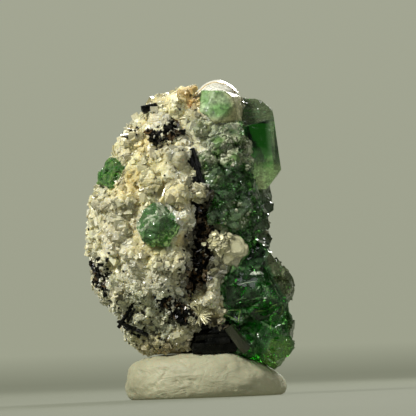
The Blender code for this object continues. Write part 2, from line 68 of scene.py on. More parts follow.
def slope(value, low, high):
    """0 at low, 1 at high and straight between."""
    return clamp((value - low) / (high - low))


def local_mm(point):
    return (Vector(point) - PLACE) / MM


def place_at(x, y, z):
    return PLACE + Vector((x, y, z)) * MM


def compass(azimuth, elevation):
    """A direction from its angles in degrees: azimuth 0 is +X and -90 is the front."""
    around, up = math.radians(azimuth), math.radians(elevation)
    return Vector((math.cos(around) * math.cos(up), math.sin(around) * math.cos(up), math.sin(up)))


# Materials


class Nodes:
    """A material with short ways to add and join nodes."""

    def __init__(self, name):
        self.material = bpy.data.materials.new(name)
        self.material.use_nodes = True
        self.tree = self.material.node_tree
        self.shader = self.tree.nodes["Principled BSDF"]
        self.out = self.tree.nodes["Material Output"]

    def add(self, kind, **values):
        node = self.tree.nodes.new(kind)
        for key, value in values.items():
            setattr(node, key, value)
        return node

    def link(self, start, end):
        self.tree.links.new(start, end)

    def feed(self, source, name):
        """Join a node's output to the shader's socket of this name."""
        self.link(source, self.shader.inputs[name])

    def set(self, **values):
        """Plain values for the shader's sockets, with _ for each space in a socket's name."""
        for key, value in values.items():
            self.shader.inputs[key.replace("_", " ")].default_value = value

    def noise(self, scale, detail=4.0, roughness=0.55, distortion=0.0, stretch=None, turn=(0, 0, 0)):
        """Noise over the object's own coordinates, with scale in waves per millimetre."""
        coords = self.add("ShaderNodeTexCoord")
        mapping = self.add("ShaderNodeMapping")
        mapping.inputs["Scale"].default_value = stretch or (1, 1, 1)
        mapping.inputs["Rotation"].default_value = [math.radians(a) for a in turn]
        self.link(coords.outputs["Object"], mapping.inputs["Vector"])
        node = self.add("ShaderNodeTexNoise")
        node.inputs["Scale"].default_value = scale / MM
        node.inputs["Detail"].default_value = detail
        node.inputs["Roughness"].default_value = roughness
        node.inputs["Distortion"].default_value = distortion
        self.link(mapping.outputs["Vector"], node.inputs["Vector"])
        return node.outputs["Fac"]

    def cells(self, scale):
        """Distance from the middle of the nearest cell, with scale in cells per millimetre."""
        coords = self.add("ShaderNodeTexCoord")
        node = self.add("ShaderNodeTexVoronoi")
        node.inputs["Scale"].default_value = scale / MM
        self.link(coords.outputs["Object"], node.inputs["Vector"])
        return node.outputs["Distance"]

    def ramp(self, source, stops):
        """Stops are (position, colour)."""
        node = self.add("ShaderNodeValToRGB")
        elements = node.color_ramp.elements
        while len(elements) < len(stops):
            elements.new(0.5)
        for element, (at, colour) in zip(elements, stops):
            element.position = at
            element.color = (*colour, 1.0) if len(colour) == 3 else colour
        self.link(source, node.inputs["Fac"])
        return node.outputs["Color"]

    def levels(self, source, low, high, to_low, to_high):
        """A value stretched from one range to another and held within it."""
        node = self.add("ShaderNodeMapRange")
        for key, value in zip(("From Min", "From Max", "To Min", "To Max"), (low, high, to_low, to_high)):
            node.inputs[key].default_value = value
        self.link(source, node.inputs["Value"])
        return node.outputs["Result"]

    def mix(self, a, b, factor, blend="MIX"):
        node = self.add("ShaderNodeMix", data_type="RGBA", blend_type=blend)
        for value, socket in ((factor, node.inputs[0]), (a, node.inputs[6]), (b, node.inputs[7])):
            if isinstance(value, bpy.types.NodeSocket):
                self.link(value, socket)
            elif isinstance(value, (int, float)):
                socket.default_value = value
            else:
                socket.default_value = (*value, 1.0)
        return node.outputs[2]

    def maths(self, a, b, operation):
        node = self.add("ShaderNodeMath", operation=operation)
        self.link(a, node.inputs[0])
        self.link(b, node.inputs[1])
        return node.outputs[0]

    def times(self, a, b):
        return self.maths(a, b, "MULTIPLY")

    def plus(self, a, b):
        return self.maths(a, b, "ADD")

    def own_colour(self):
        """The colour that the mesh itself carries."""
        return self.add("ShaderNodeAttribute", attribute_name="Col").outputs["Color"]

    def bump(self, heights, strength):
        """Bumps from pairs of a height socket and a depth in millimetres."""
        normal = None
        for height, depth in heights:
            node = self.add("ShaderNodeBump")
            node.inputs["Strength"].default_value = strength
            node.inputs["Distance"].default_value = depth * MM
            self.link(height, node.inputs["Height"])
            if normal is not None:
                self.link(normal, node.inputs["Normal"])
            normal = node.outputs["Normal"]
        self.feed(normal, "Normal")


FLUORITE_IOR = 1.434


def absorption(n, colour_over, over_mm):
    """Volume absorption that leaves colour_over of white light after over_mm of crystal."""
    sigma = [-math.log(c) / (over_mm * MM) for c in colour_over]
    # Density times the share that the colour lacks is what is absorbed, so it is a little over the largest.
    density = max(sigma) * 1.02
    volume = n.add("ShaderNodeVolumeAbsorption")
    volume.inputs["Color"].default_value = (*[1 - s / density for s in sigma], 1.0)
    volume.inputs["Density"].default_value = density
    n.link(volume.outputs["Volume"], n.out.inputs["Volume"])


def fluorite(name, colour_over, over_mm, tint, rough, etch, matt=None):
    """Clear green crystal: white light is left with colour_over after over_mm of it.

    Where matt is given, the attribute Frost holds the colour and, as alpha, the share of a pale skin, and
    matt is the roughness that the skin adds. The skin is frost in most places and painted glow and glints in
    a few.
    """
    n = Nodes(name)
    n.set(IOR=FLUORITE_IOR)
    haze = n.levels(n.noise(0.55, 5, 0.62, 0.6), 0.38, 0.66, *rough)
    shade = n.ramp(n.noise(0.22, 3, 0.5), [(0.32, tint), (0.7, tuple(0.86 * c for c in tint))])
    if matt is None:
        n.set(Transmission_Weight=1.0)
    else:
        skin = n.add("ShaderNodeAttribute", attribute_name="FrostAndGlow")
        blotch = n.levels(n.noise(0.9, 5, 0.66, 0.4), 0.32, 0.62, 0.35, 1.3)
        share = n.times(skin.outputs["Alpha"], blotch)
        n.feed(n.levels(share, 0.0, 1.0, 1.0, 0.05), "Transmission Weight")
        haze = n.plus(haze, n.levels(share, 0.0, 1.0, 0.0, matt))
        speck = n.ramp(n.noise(2.0, 4, 0.7), [(0.36, (0.45, 0.45, 0.4)), (0.56, (1.0, 1.0, 1.0))])
        speckled = n.mix(skin.outputs["Color"], speck, 0.8, "MULTIPLY")
        shade = n.mix(shade, speckled, n.levels(share, 0.0, 0.4, 0.0, 1.0))
    n.feed(haze, "Roughness")
    n.feed(shade, "Base Color")
    steps = n.noise(0.42, 2, 0.4, 1.4, stretch=(1, 1, 2.4), turn=(12, 35, 8))
    n.bump([(steps, 0.14 * etch), (n.noise(2.6, 4, 0.6), 0.012 * etch)], 0.8)
    absorption(n, colour_over, over_mm)
    return n.material


def rock_material():
    """Pale translucent feldspar, veined, with brown dirt and painted shade in its creases."""
    n = Nodes("rock ground")
    mottle = n.ramp(n.noise(0.55, 5, 0.65, 0.5), [(0.3, (0.74, 0.68, 0.52)), (0.5, (1.0, 0.98, 0.9))])
    colour = n.mix(n.own_colour(), mottle, 0.75, "MULTIPLY")
    grit = n.ramp(n.noise(2.4, 3, 0.6), [(0.34, (0.66, 0.62, 0.52)), (0.48, (1.0, 1.0, 1.0))])
    n.feed(n.mix(colour, grit, 0.6, "MULTIPLY"), "Base Color")
    n.feed(n.levels(n.noise(1.6, 3), 0.35, 0.65, 0.22, 0.62), "Roughness")
    steps = n.noise(0.7, 3, 0.5, 1.2, stretch=(1, 1, 3.2), turn=(24, 40, 10))
    n.bump([(steps, 0.4), (n.cells(1.05), 0.16), (n.noise(3.5, 4), 0.14)], 0.9)
    n.set(Subsurface_Weight=0.6, Subsurface_Scale=2.2 * MM, Subsurface_Radius=(1.0, 0.85, 0.5))
    return n.material


def grain_material(name, rough=(0.12, 0.42), soft=0.5, clear=0.0):
    """Cleaved grains that keep the colour each was given."""
    n = Nodes(name)
    veil = n.ramp(n.noise(1.4, 4, 0.6), [(0.3, (0.8, 0.78, 0.7)), (0.55, (1, 1, 1))])
    n.feed(n.mix(n.own_colour(), veil, 0.7, "MULTIPLY"), "Base Color")
    n.feed(n.levels(n.noise(0.8, 3), 0.35, 0.65, *rough), "Roughness")
    n.bump([(n.noise(2.6, 3, 0.5, stretch=(1, 1, 4)), 0.07), (n.noise(7.0, 2), 0.02)], 0.8)
    n.set(Subsurface_Weight=soft, Subsurface_Scale=1.5 * MM, Subsurface_Radius=(1.0, 0.85, 0.6))
    n.set(Transmission_Weight=clear, IOR=1.53)
    return n.material


def mica_material(name="silvery mica sheets", dull=(0.7, 0.66, 0.52), metal=0.0):
    """Sheets that keep the colour each was given, with duller streaks across them."""
    n = Nodes(name)
    streaks = n.ramp(n.noise(1.1, 3, 0.5, stretch=(1, 1, 5)), [(0.35, dull), (0.55, (1, 1, 1))])
    n.feed(n.mix(n.own_colour(), streaks, 0.6, "MULTIPLY"), "Base Color")
    n.feed(n.levels(n.noise(1.0, 3), 0.3, 0.7, 0.1, 0.36), "Roughness")
    n.bump([(n.noise(1.8, 3, 0.5, 0.8), 0.08)], 0.8)
    n.set(Coat_Weight=0.35, Coat_Roughness=0.12, Transmission_Weight=0.15, IOR=1.58, Metallic=metal)
    return n.material


def tourmaline_material():
    n = Nodes("black tourmaline")
    blacks = [(0.35, (0.001, 0.0012, 0.001)), (0.75, (0.009, 0.009, 0.007))]
    n.feed(n.ramp(n.noise(0.7, 4), blacks), "Base Color")
    n.feed(n.levels(n.noise(1.5, 4), 0.3, 0.7, 0.1, 0.34), "Roughness")
    n.bump([(n.noise(1.2, 3, 0.5, 0.5), 0.12), (n.noise(5, 3), 0.04)], 0.9)
    n.set(Specular_IOR_Level=0.12)
    return n.material


def putty_material():
    n = Nodes("beige putty")
    stain = n.ramp(n.noise(0.09, 4, 0.55, 0.6), [(0.3, srgb(150, 147, 118)), (0.7, srgb(170, 168, 138))])
    fold = n.noise(0.16, 4, 0.55, 1.6, stretch=(1.0, 1.0, 2.2), turn=(0, 28, 14))
    dust = n.ramp(n.noise(1.9, 2, 0.5), [(0.70, (1, 1, 1)), (0.78, (0.42, 0.38, 0.28))])
    n.feed(n.mix(stain, dust, 0.55, "MULTIPLY"), "Base Color")
    n.feed(n.levels(n.noise(0.6, 3), 0.3, 0.7, 0.5, 0.72), "Roughness")
    n.bump([(fold, 0.6), (n.noise(0.9, 4, 0.6), 0.09), (n.noise(4.0, 3), 0.03)], 0.7)
    n.set(Subsurface_Weight=0.08, Subsurface_Scale=1.5 * MM)
    return n.material


# Colours of the rock by zone

WHITE = srgb(238, 235, 210)
CREAM = srgb(224, 217, 168)
OCHRE = srgb(232, 210, 152)
GREY = srgb(172, 173, 148)
GREEN_GREY = srgb(120, 138, 104)
DARK = srgb(44, 38, 24)
BLACK = (0.01, 0.01, 0.01)

# Zones of colour on the front: x, z, radius across, radius up, colour, strength.
ZONES = [
    (-16, 57, 9, 9, CREAM, 0.9),
    (-11.5, 62.3, 4.5, 3, OCHRE, 0.4),
    (-17.5, 52, 4.5, 3.5, OCHRE, 0.4),
    (-0.8, 74.6, 4.4, 2.8, srgb(196, 160, 94), 0.85),
    (-0.2, 73.4, 1.1, 0.8, srgb(182, 92, 34), 0.85),
    (2.4, 72.6, 2.4, 2.4, OCHRE, 0.6),
    (-7, 71, 8, 5, CREAM, 0.8),
    (-23, 44, 6, 6, srgb(204, 200, 168), 0.8),
    (-5, 48, 5, 7, WHITE, 0.9),
    (-11, 36, 10, 6, CREAM, 0.75),
    (-6, 30, 6, 5, WHITE, 0.8),
    (-20, 38, 6, 5, WHITE, 0.6),
    (-3.2, 39, 2.4, 2.4, OCHRE, 0.75),
    (-12, 22, 10, 7, srgb(186, 192, 166), 0.8),
    (-12, 15.5, 9, 4, srgb(158, 162, 128), 0.7),
    (-10, 12.6, 9, 2.4, srgb(112, 92, 52), 0.8),
    (-16, 27, 5, 4, GREY, 0.5),
    (-26, 32, 4, 5, GREY, 0.7),
    (4, 66, 6, 5, GREEN_GREY, 0.7),
    (9, 55, 7, 12, GREEN_GREY, 0.9),
    (9, 44, 6, 7, GREEN_GREY, 0.95),
    (4, 30, 5, 6, GREY, 0.55),
    (-22, 57.5, 4, 4, GREEN_GREY, 0.6),
    (3.6, 48.6, 3.4, 4.4, DARK, 0.95),
    (1.8, 44, 3.9, 5.5, DARK, 0.95),
    (1.2, 39, 4.3, 5, DARK, 0.97),
    (-0.2, 33.6, 4.4, 4.5, DARK, 0.95),
    (-1.6, 30, 4.8, 4.2, DARK, 0.9),
    (-0.6, 30.2, 3.4, 2.2, srgb(98, 72, 36), 0.75),
    (4.0, 32.6, 2.8, 3.4, srgb(80, 78, 50), 0.9),
    (4, 15, 7, 4, DARK, 0.9),
    (-6.5, 22.4, 3.6, 2.4, DARK, 0.7),
    (-7.6, 65.2, 3.0, 2.0, DARK, 0.6),
]

# Where black grains are thick: x, z, radius, share.
BLACK_ZONES = [
    (-7.6, 65.2, 4.0, 0.4),
    (-15.5, 66.5, 2.2, 0.35),
    (-6.5, 22.4, 5.0, 0.45),
    (-25.6, 32.5, 4.0, 0.5),
    (-17.6, 19.5, 4.5, 0.35),
    (1.0, 39, 4.8, 0.7),
    (-1.2, 31.0, 5.0, 0.6),
    (2.4, 46.5, 4.0, 0.6),
    (4.0, 14.5, 6.5, 0.7),
    (-10, 26, 9.0, 0.12),
    (-21, 24, 6.0, 0.25),
    (-13, 16, 6.0, 0.2),
    (1.2, 55, 2.0, 0.3),
]


def zone_colour(p):
    """The rock's colour at a place in millimetres."""
    wobble = Vector((noise.noise(p / 5.0), 0, noise.noise(p / 5.0 + Vector((31, 7, 3))))) * 3.0
    q = p + wobble
    broad = noise.noise(p / 13.0 + Vector((5, 9, 2)))
    mid = noise.noise(p / 4.0 + Vector((1, 2, 3)))
    colour = CREAM.lerp(WHITE, clamp(0.55 + 0.9 * mid))
    colour = colour.lerp(OCHRE, 0.55 * clamp(1.6 * broad - 0.1 + 0.5 * mid))
    colour = colour.lerp(GREY, 0.6 * clamp(-1.6 * broad - 0.15))
    front = slope(p.y, 6.0, -2.0)
    for x, z, across, up, tint, strength in ZONES:
        far = ((q.x - x) / across) ** 2 + ((q.z - z) / up) ** 2
        if far < 1:
            colour = colour.lerp(tint, strength * (1 - far) ** 0.6 * front)
    colour = colour.lerp(GREEN_GREY * 0.6, 0.75 * slope(q.x, 7.0, 13.0))
    return colour.lerp(OCHRE * 0.5, 0.4 * slope(q.z, 15.0, 11.0))


def rock_tone(p):
    """The rock's colour with its lumps."""
    share, tint, _, _ = lump_at(p)
    tone = zone_colour(p)
    return tone.lerp(tint * 0.85, min(0.85, share * 3)) if share > 0 else tone


def black_share(p):
    """The share of grains that are black at a place."""
    share = 0.03
    for x, z, radius, amount in BLACK_ZONES:
        far = ((p.x - x) ** 2 + (p.z - z) ** 2) / radius**2
        if far < 1 and p.y < 4:
            share = max(share, amount * (1 - far) ** 0.5)
    return share + 0.1 * max(0.0, noise.noise(p / 6.0) - 0.25)


# Meshes


def object_from(name, bm, material, smooth=False):
    mesh = bpy.data.meshes.new(name)
    bm.to_mesh(mesh)
    bm.free()
    return object_of(name, mesh, material, smooth)


def object_of(name, mesh, material, smooth=False):
    mesh.materials.clear()
    mesh.materials.append(material)
    mesh.polygons.foreach_set("use_smooth", [smooth] * len(mesh.polygons))
    made = bpy.data.objects.new(name, mesh)
    bpy.context.scene.collection.objects.link(made)
    return made


def meshed_copy(node, settings, smooth_steps=0):
    """A remeshed copy of a CAD node, as a bmesh. The settings are those of the Remesh modifier."""
    copy = bpy.data.objects.new("meshed", node.data.copy())
    bpy.context.scene.collection.objects.link(copy)
    remesh = copy.modifiers.new("remesh", "REMESH")
    for key, value in settings.items():
        setattr(remesh, key, value)
    if smooth_steps:
        soften = copy.modifiers.new("soften", "SMOOTH")
        soften.iterations = smooth_steps
        soften.factor = 0.5
    graph = bpy.context.evaluated_depsgraph_get()
    mesh = bpy.data.meshes.new_from_object(copy.evaluated_get(graph))
    bpy.data.objects.remove(copy)
    bm = bmesh.new()
    bm.from_mesh(mesh)
    bm.normal_update()
    bpy.data.meshes.remove(mesh)
    return bm


def remeshed(node, voxel_mm, smooth_steps):
    """A copy of a CAD node in even, small faces, with its edges softened."""
    return meshed_copy(node, {"mode": "VOXEL", "voxel_size": voxel_mm * MM}, smooth_steps)


def faceted(node, depth):
    """A copy of a CAD node in small faces that keeps its edges."""
    settings = {"mode": "SHARP", "octree_depth": depth, "scale": 0.95, "sharpness": 1.0}
    return meshed_copy(node, settings)


def cad_mesh(name):
    """A CAD node's own faces, as a bmesh."""
    bm = bmesh.new()
    bm.from_mesh(nodes[name].data)
    bm.normal_update()
    return bm


def tree_of(names):
    """A search tree of the surfaces of these CAD nodes."""
    bm = bmesh.new()
    for name in names:
        bm.from_mesh(nodes[name].data)
    tree = BVHTree.FromBMesh(bm)
    bm.free()
    return tree


CRYSTAL_NAMES = [name for name in nodes if name not in ("matrix_rock", "putty_base")]
crystal_tree = tree_of(CRYSTAL_NAMES)
putty_tree = tree_of(["putty_base"])


def clearance(tree, point, reach_mm):
    """The distance in millimetres to a tree, at most reach_mm."""
    found = tree.find_nearest(point, reach_mm * MM)
    return reach_mm if found[0] is None else found[3] / MM


def room_round(point, reach_mm):
    """The distance in millimetres to the nearest crystal or the putty, at most reach_mm."""
    return min(clearance(crystal_tree, point, reach_mm), clearance(putty_tree, point, reach_mm))


def convex_chunk(rng, cuts, shape=(1, 1, 1)):
    """A small convex solid of radius about 1: a box with cuts across its corners."""
    bm = bmesh.new()
    bmesh.ops.create_cube(bm, size=1.5)
    for _ in range(cuts):
        facing = Vector([rng.choice((-1, 1)) * rng.uniform(0.25, 1) for _ in range(3)]).normalized()
        cut = bmesh.ops.bisect_plane(
            bm,
            geom=bm.verts[:] + bm.edges[:] + bm.faces[:],
            plane_co=facing * rng.uniform(0.62, 0.9),
            plane_no=facing,
            clear_outer=True,
        )
        rim = [item for item in cut["geom_cut"] if isinstance(item, bmesh.types.BMEdge)]
        if rim:
            bmesh.ops.contextual_create(bm, geom=rim)
    bmesh.ops.remove_doubles(bm, verts=bm.verts[:], dist=0.02)
    for vertex in bm.verts:
        vertex.co = Vector([a * b for a, b in zip(vertex.co, shape)])
    bm.verts.ensure_lookup_table()
    bm.faces.ensure_lookup_table()
    points = np.array([v.co[:] for v in bm.verts])
    faces = [[v.index for v in f.verts] for f in bm.faces]
    bm.free()
    return points, faces


def scatter(name, shapes, places, material):
    """One mesh of many small solids. Each place is (shape index, point, 3x3 rotation, scale, colour)."""
    points, faces, colours = [], [], []
    start = 0
    for index, at, turn, scale, colour in places:
        shape_points, shape_faces = shapes[index]
        turned = (shape_points * scale) @ np.array(turn).T + np.array(at)
        points.append(turned)
        faces.extend([[start + i for i in face] for face in shape_faces])
        colours.append(np.tile((*colour, 1.0), (len(turned), 1)))
        start += len(turned)
    mesh = bpy.data.meshes.new(name)
    mesh.from_pydata(np.concatenate(points).tolist(), [], faces)
    layer = mesh.attributes.new("Col", "FLOAT_COLOR", "POINT")
    layer.data.foreach_set("color", np.concatenate(colours).astype(np.float32).ravel())
    mesh.update()
    return object_of(name, mesh, material)


def surface_points(bm, count, rng):
    """Points spread evenly over a mesh, each with the normal there."""
    faces = list(bm.faces)
    areas = np.cumsum([face.calc_area() for face in faces])
    picks = np.searchsorted(areas, np.array([rng.random() for _ in range(count)]) * areas[-1])
    for pick in picks:
        face = faces[min(int(pick), len(faces) - 1)]
        corners = [v.co for v in face.verts]
        a, b = rng.random(), rng.random()
        if a + b > 1:
            a, b = 1 - a, 1 - b
        side = rng.randrange(len(corners) - 2) + 1
        point = corners[0] + (corners[side] - corners[0]) * a + (corners[side + 1] - corners[0]) * b
        yield point, face.normal


def jitter(rng, spread):
    """A random vector, as likely to point one way as another."""
    return Vector([rng.gauss(0, spread) for _ in range(3)])


def turn_of(x, z):
    """The rotation that takes the first and third axis to these directions."""
    return Matrix((x, z.cross(x), z)).transposed()


def turned_to(normal, rng, tilt):
    """A rotation whose z axis leans by about tilt radians from a normal."""
    z = (normal + jitter(rng, tilt)).normalized()
    x = z.orthogonal().normalized()
    x = Matrix.Rotation(rng.uniform(0, 2 * math.pi), 3, z) @ x
    return turn_of(x, z)


def bridge(bm, low, high, flip=False):
    """Faces between two closed rings of vertices."""
    for i in range(len(low)):
        j = (i + 1) % len(low)
        face = (low[i], low[j], high[j], high[i])
        bm.faces.new(face[::-1] if flip else face)


def fan(bm, ring, tip, flip=False):
    """Faces from a closed ring of vertices to a tip."""
    for i in range(len(ring)):
        j = (i + 1) % len(ring)
        face = (ring[i], ring[j], tip)
        bm.faces.new(face[::-1] if flip else face)


def outline_plate(bm, centre, turn, outline, thickness, cup, colour, layer):
    """A thin, slightly cupped plate. Its outline is points in its own plane, in millimetres."""
    rims = []
    for side, flip in ((-0.5, True), (0.5, False)):
        rings = []
        for share in (1.0, 0.55):
            ring = []
            for x, y in outline:
                x, y = x * share, y * share
                height = side * thickness + cup * (x * x + y * y)
                ring.append(bm.verts.new(centre + turn @ Vector((x, y, height)) * MM))
            rings.append(ring)
        middle = bm.verts.new(centre + turn @ Vector((0, 0, side * thickness)) * MM)
        bridge(bm, *rings, flip)
        fan(bm, rings[1], middle, flip)
        rims.append(rings[0])
        for vertex in rings[0] + rings[1] + [middle]:
            vertex[layer] = (*colour, 1.0)
    bridge(bm, *rims)


OUTLINE_POINTS, ROUNDNESS, RAGGEDNESS = 18, 0.4, 0.11


def hex_outline(radius, rng):
    """The ragged outline of a mica plate, between a circle and a hexagon."""
    phase = rng.uniform(0, 2 * math.pi)
    turn = rng.uniform(0, 1)
    outline = []
    for i in range(OUTLINE_POINTS):
        angle = 2 * math.pi * i / OUTLINE_POINTS
        hexagon = math.cos(math.pi / 6) / math.cos((angle + turn) % (math.pi / 3) - math.pi / 6)
        out = radius * (ROUNDNESS + (1 - ROUNDNESS) * hexagon)
        out *= 1 + RAGGEDNESS * (math.sin(3 * angle + phase) + rng.uniform(-0.8, 0.8))
        outline.append((out * math.cos(angle), out * math.sin(angle)))
    return outline


def mica_stack(bm, layer, centre, normal, radius, count, thickness, rng, tint, cup=0.0, narrowing=0.0):
    """A book of mica: thin plates that nearly line up and get narrower towards the front by this share."""
    z = normal.normalized()
    x = z.orthogonal().normalized()
    base = turn_of(x, z)
    outline = hex_outline(radius, rng)
    for step in range(count):
        share = step / max(1, count - 1)
        turn = base @ Euler([rng.gauss(0, 0.025), rng.gauss(0, 0.025), rng.gauss(0, 0.05)]).to_matrix()
        grow = 1 - narrowing * share**1.5 + rng.uniform(-0.06, 0.04)
        shape = [(a * grow * rng.uniform(0.985, 1.015), b * grow) for a, b in outline]
        slip = x * rng.gauss(0, 0.06) * radius * 0.4
        at = centre + (z * (step - count / 2) * thickness * 1.7 + slip) * MM
        bright = rng.uniform(0.45, 1.2)
        outline_plate(bm, at, turn, shape, thickness, cup, tint * bright, layer)


PRISM_STEPS = 7


def striated_prism(bm, start, end, radius, rng, sides=21):
    """A three-sided, rounded and finely grooved tourmaline prism with broken ends. The radius is in mm."""
    along = (end - start).normalized()
    length = (end - start).length
    x = Matrix.Rotation(rng.uniform(0, 6.28), 3, along) @ along.orthogonal().normalized()
    y = along.cross(x)
    profile = []
    for i in range(sides):
        angle = 2 * math.pi * i / sides
        bulge = 1 - 0.13 * math.cos(3 * angle)
        profile.append((angle, bulge * (1 + rng.uniform(-0.075, 0.075))))
    rings = []
    for step in range(PRISM_STEPS + 1):
        share = step / PRISM_STEPS
        taper = 1 - 0.05 * share + rng.uniform(-0.015, 0.015)
        ring = []
        for angle, bulge in profile:
            out = (x * math.cos(angle) + y * math.sin(angle)) * radius * bulge * taper * MM
            slide = 0.0
            if step in (0, PRISM_STEPS):
                slide = 0.3 * radius * MM * (0.5 * math.cos(angle + 1) + rng.uniform(-0.25, 0.25))
            ring.append(bm.verts.new(start + along * (length * share + slide) + out))
        rings.append(ring)
    for low, high in zip(rings, rings[1:]):
        bridge(bm, low, high)
    for ring, inset, flip in ((rings[0], 0.25, True), (rings[-1], -0.25, False)):
        centre = sum((v.co for v in ring), Vector()) / sides
        fan(bm, ring, bm.verts.new(centre - along * inset * radius * MM), flip)


def add_piece(piece, slot, *replaced):
    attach(piece, "root")
    if replaced:
        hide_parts(*replaced)
    return piece


def built_piece(name, build, material, slot, *replaced):
    """A piece whose mesh is made by build(bm, layer), where the layer holds its colours."""
    bm = bmesh.new()
    build(bm, bm.verts.layers.float_color.new("Col"))
    bmesh.ops.recalc_face_normals(bm, faces=bm.faces[:])
    add_piece(object_from(name, bm, material), slot, *replaced)


def strew(name, shapes, places, material, slot):
    """A piece of many small solids, given as scatter takes them."""
    add_piece(scatter(name, shapes, places, material), slot)


def crisp(piece, angle):
    """Smooth shading that stops at edges sharper than the angle."""
    piece.data.polygons.foreach_set("use_smooth", [True] * len(piece.data.polygons))
    piece.data.set_sharp_from_angle(angle=math.radians(angle))
    return piece


# The rock and its grains

rock_mat = rock_material()
feldspar_mat = grain_material("feldspar grains")
quartz_mat = grain_material("glassy quartz grains", rough=(0.05, 0.2), soft=0.1, clear=0.45)
flake_mat = mica_material()
black_mat = tourmaline_material()


# Large lumps on the front: x, z, radius, height, colour, how sugary the surface is (0 smooth, 1 grainy).
LUMPS = [
    (-8.9, 68.9, 2.6, 1.1, srgb(236, 232, 208), 0.1),
    (-9.6, 74.4, 3.0, 0.7, srgb(208, 200, 160), 0.3),
    (-15.4, 64.6, 3.4, 1.0, srgb(206, 196, 150), 0.2),
    (-12.8, 62.8, 2.6, 1.1, srgb(230, 212, 152), 0.0),
    (-17.6, 60.6, 2.4, 0.9, srgb(226, 218, 180), 0.3),
    (-9.4, 61.0, 2.8, 1.0, srgb(224, 216, 176), 0.3),
    (-4.6, 59.2, 3.3, 1.1, srgb(196, 194, 168), 0.1),
    (-11.4, 52.6, 2.7, 1.0, srgb(214, 206, 160), 0.2),
    (-15.6, 54.8, 2.3, 0.9, srgb(208, 190, 130), 0.2),
    (-5.6, 49.8, 4.2, 1.4, srgb(226, 216, 166), 0.1),
    (-0.4, 52.0, 2.3, 1.0, srgb(158, 152, 122), 0.2),
    (-23.4, 49.0, 2.8, 0.9, srgb(212, 206, 174), 0.3),
    (-19.4, 46.2, 3.4, 1.0, srgb(206, 202, 168), 0.4),
    (-20.4, 39.6, 4.6, 1.0, srgb(226, 220, 190), 0.1),
    (-12.6, 38.6, 4.4, 0.9, srgb(222, 210, 158), 0.2),
    (-6.4, 34.6, 3.4, 1.0, srgb(220, 214, 176), 0.3),
    (-16.4, 31.6, 3.4, 0.9, srgb(206, 204, 178), 0.5),
    (-11.6, 28.8, 3.2, 0.9, srgb(204, 202, 176), 0.7),
    (-5.2, 29.2, 2.6, 1.0, srgb(214, 208, 176), 0.6),
    (-22.4, 29.4, 2.6, 0.8, srgb(186, 188, 160), 0.6),
    (-13.6, 14.4, 3.2, 0.7, srgb(190, 182, 140), 0.6),
    (-6.2, 15.0, 2.8, 0.8, srgb(206, 202, 168), 0.5),
    (2.4, 65.2, 2.5, 0.9, srgb(104, 112, 76), 0.1),
    (0.4, 70.4, 2.4, 0.8, srgb(176, 172, 140), 0.5),
    (5.2, 63.0, 2.2, 0.7, srgb(176, 166, 118), 0.2),
]


def lump_at(p):
    """The lump under a place on the front, if any: its share (1 in the middle), colour, sugar and height."""
    best = (0.0, None, 1.0, 0.0)
    if p.y > 6:
        return best
    bend = noise.noise_vector(p / 3.0) * 0.9
    for x, z, radius, height, tint, sugar in LUMPS:
        share = 1 - ((p.x + bend.x - x) ** 2 + (p.z + bend.z - z) ** 2) / radius**2
        if share > best[0]:
            best = (share, tint, sugar, height)
    return best


def sugar_at(p):
    """How thickly small grains cover the rock here, 0 to 1."""
    share, _, sugar, _ = lump_at(p)
    patch = clamp(0.5 + 2.2 * noise.noise(p / 5.5 + Vector((40, 2, 9))))
    low = slope(p.z, 36, 22) * 0.5
    return patch * 0.3 + low if share <= 0 else sugar * 0.6 + 0.02


def dome(p, size_mm):
    """Rounded bosses with creases between them, about -0.5 to 0.35."""
    near = noise.voronoi(p / size_mm)[0][0]
    return 0.35 - min(0.85, near * near)


def knobs(p):
    """The large and the small knobs of the rock at a place, each as dome gives it."""
    bent = p + (noise.noise_vector(p / 6.0) * 1.4 + noise.noise_vector(p / 2.2) * 0.4)
    return dome(bent + Vector((4, 4, 8)), 5.0), dome(bent, 2.2)


def rough_height(p):
    """Knobs and creases of the rock, in millimetres. The brown patch near the top is flatter."""
    large, small = knobs(p)
    flat = 1 - 0.7 * max(0.0, 1 - ((p.x + 0.6) ** 2 + (p.z - 74.6) ** 2) / 18)
    height = 1.5 * large + 0.8 * small
    chip = noise.voronoi(p / 1.1 + Vector((9, 4, 1)))[0]
    height += (0.12 + 0.3 * sugar_at(p)) * (chip[1] - chip[0] - 0.3) + 0.22 * noise.noise(p / 1.3)
    share, _, _, rise = lump_at(p)
    if share > 0:
        lump = rise * (1 - (1 - share) ** 1.6)
        return 0.35 * height + lump - 0.3 + 0.25 * facet(p, 2.2, 0.5)
    return height * flat


def crease(p):
    """How deep in a crease of the rock a place is, 0 to 1."""
    large, small = knobs(p)
    return clamp((-large - 0.6 * small - 0.1) / 0.35)


def facet(p, cell_mm, tilt):
    """Flat facets that lean at random, as a height in millimetres."""
    middle = noise.voronoi(p / cell_mm)[1][0]
    lean = noise.cell_vector(middle * 7.3) - Vector((0.5, 0.5, 0.5))
    return tilt * 2 * cell_mm * (p / cell_mm - middle).dot(lean)


ROCK_VOXEL_MM = 0.38
# The rock is left as it is this near a crystal or the putty, and its relief is full this much further off.
STILL_MM, RELIEF_MM = 0.3, 1.3
# Creases are darkened towards brown: partly ochre dirt, partly painted shade.
CREASE_DIRT_AND_SHADE = Vector((0.6, 0.46, 0.27))

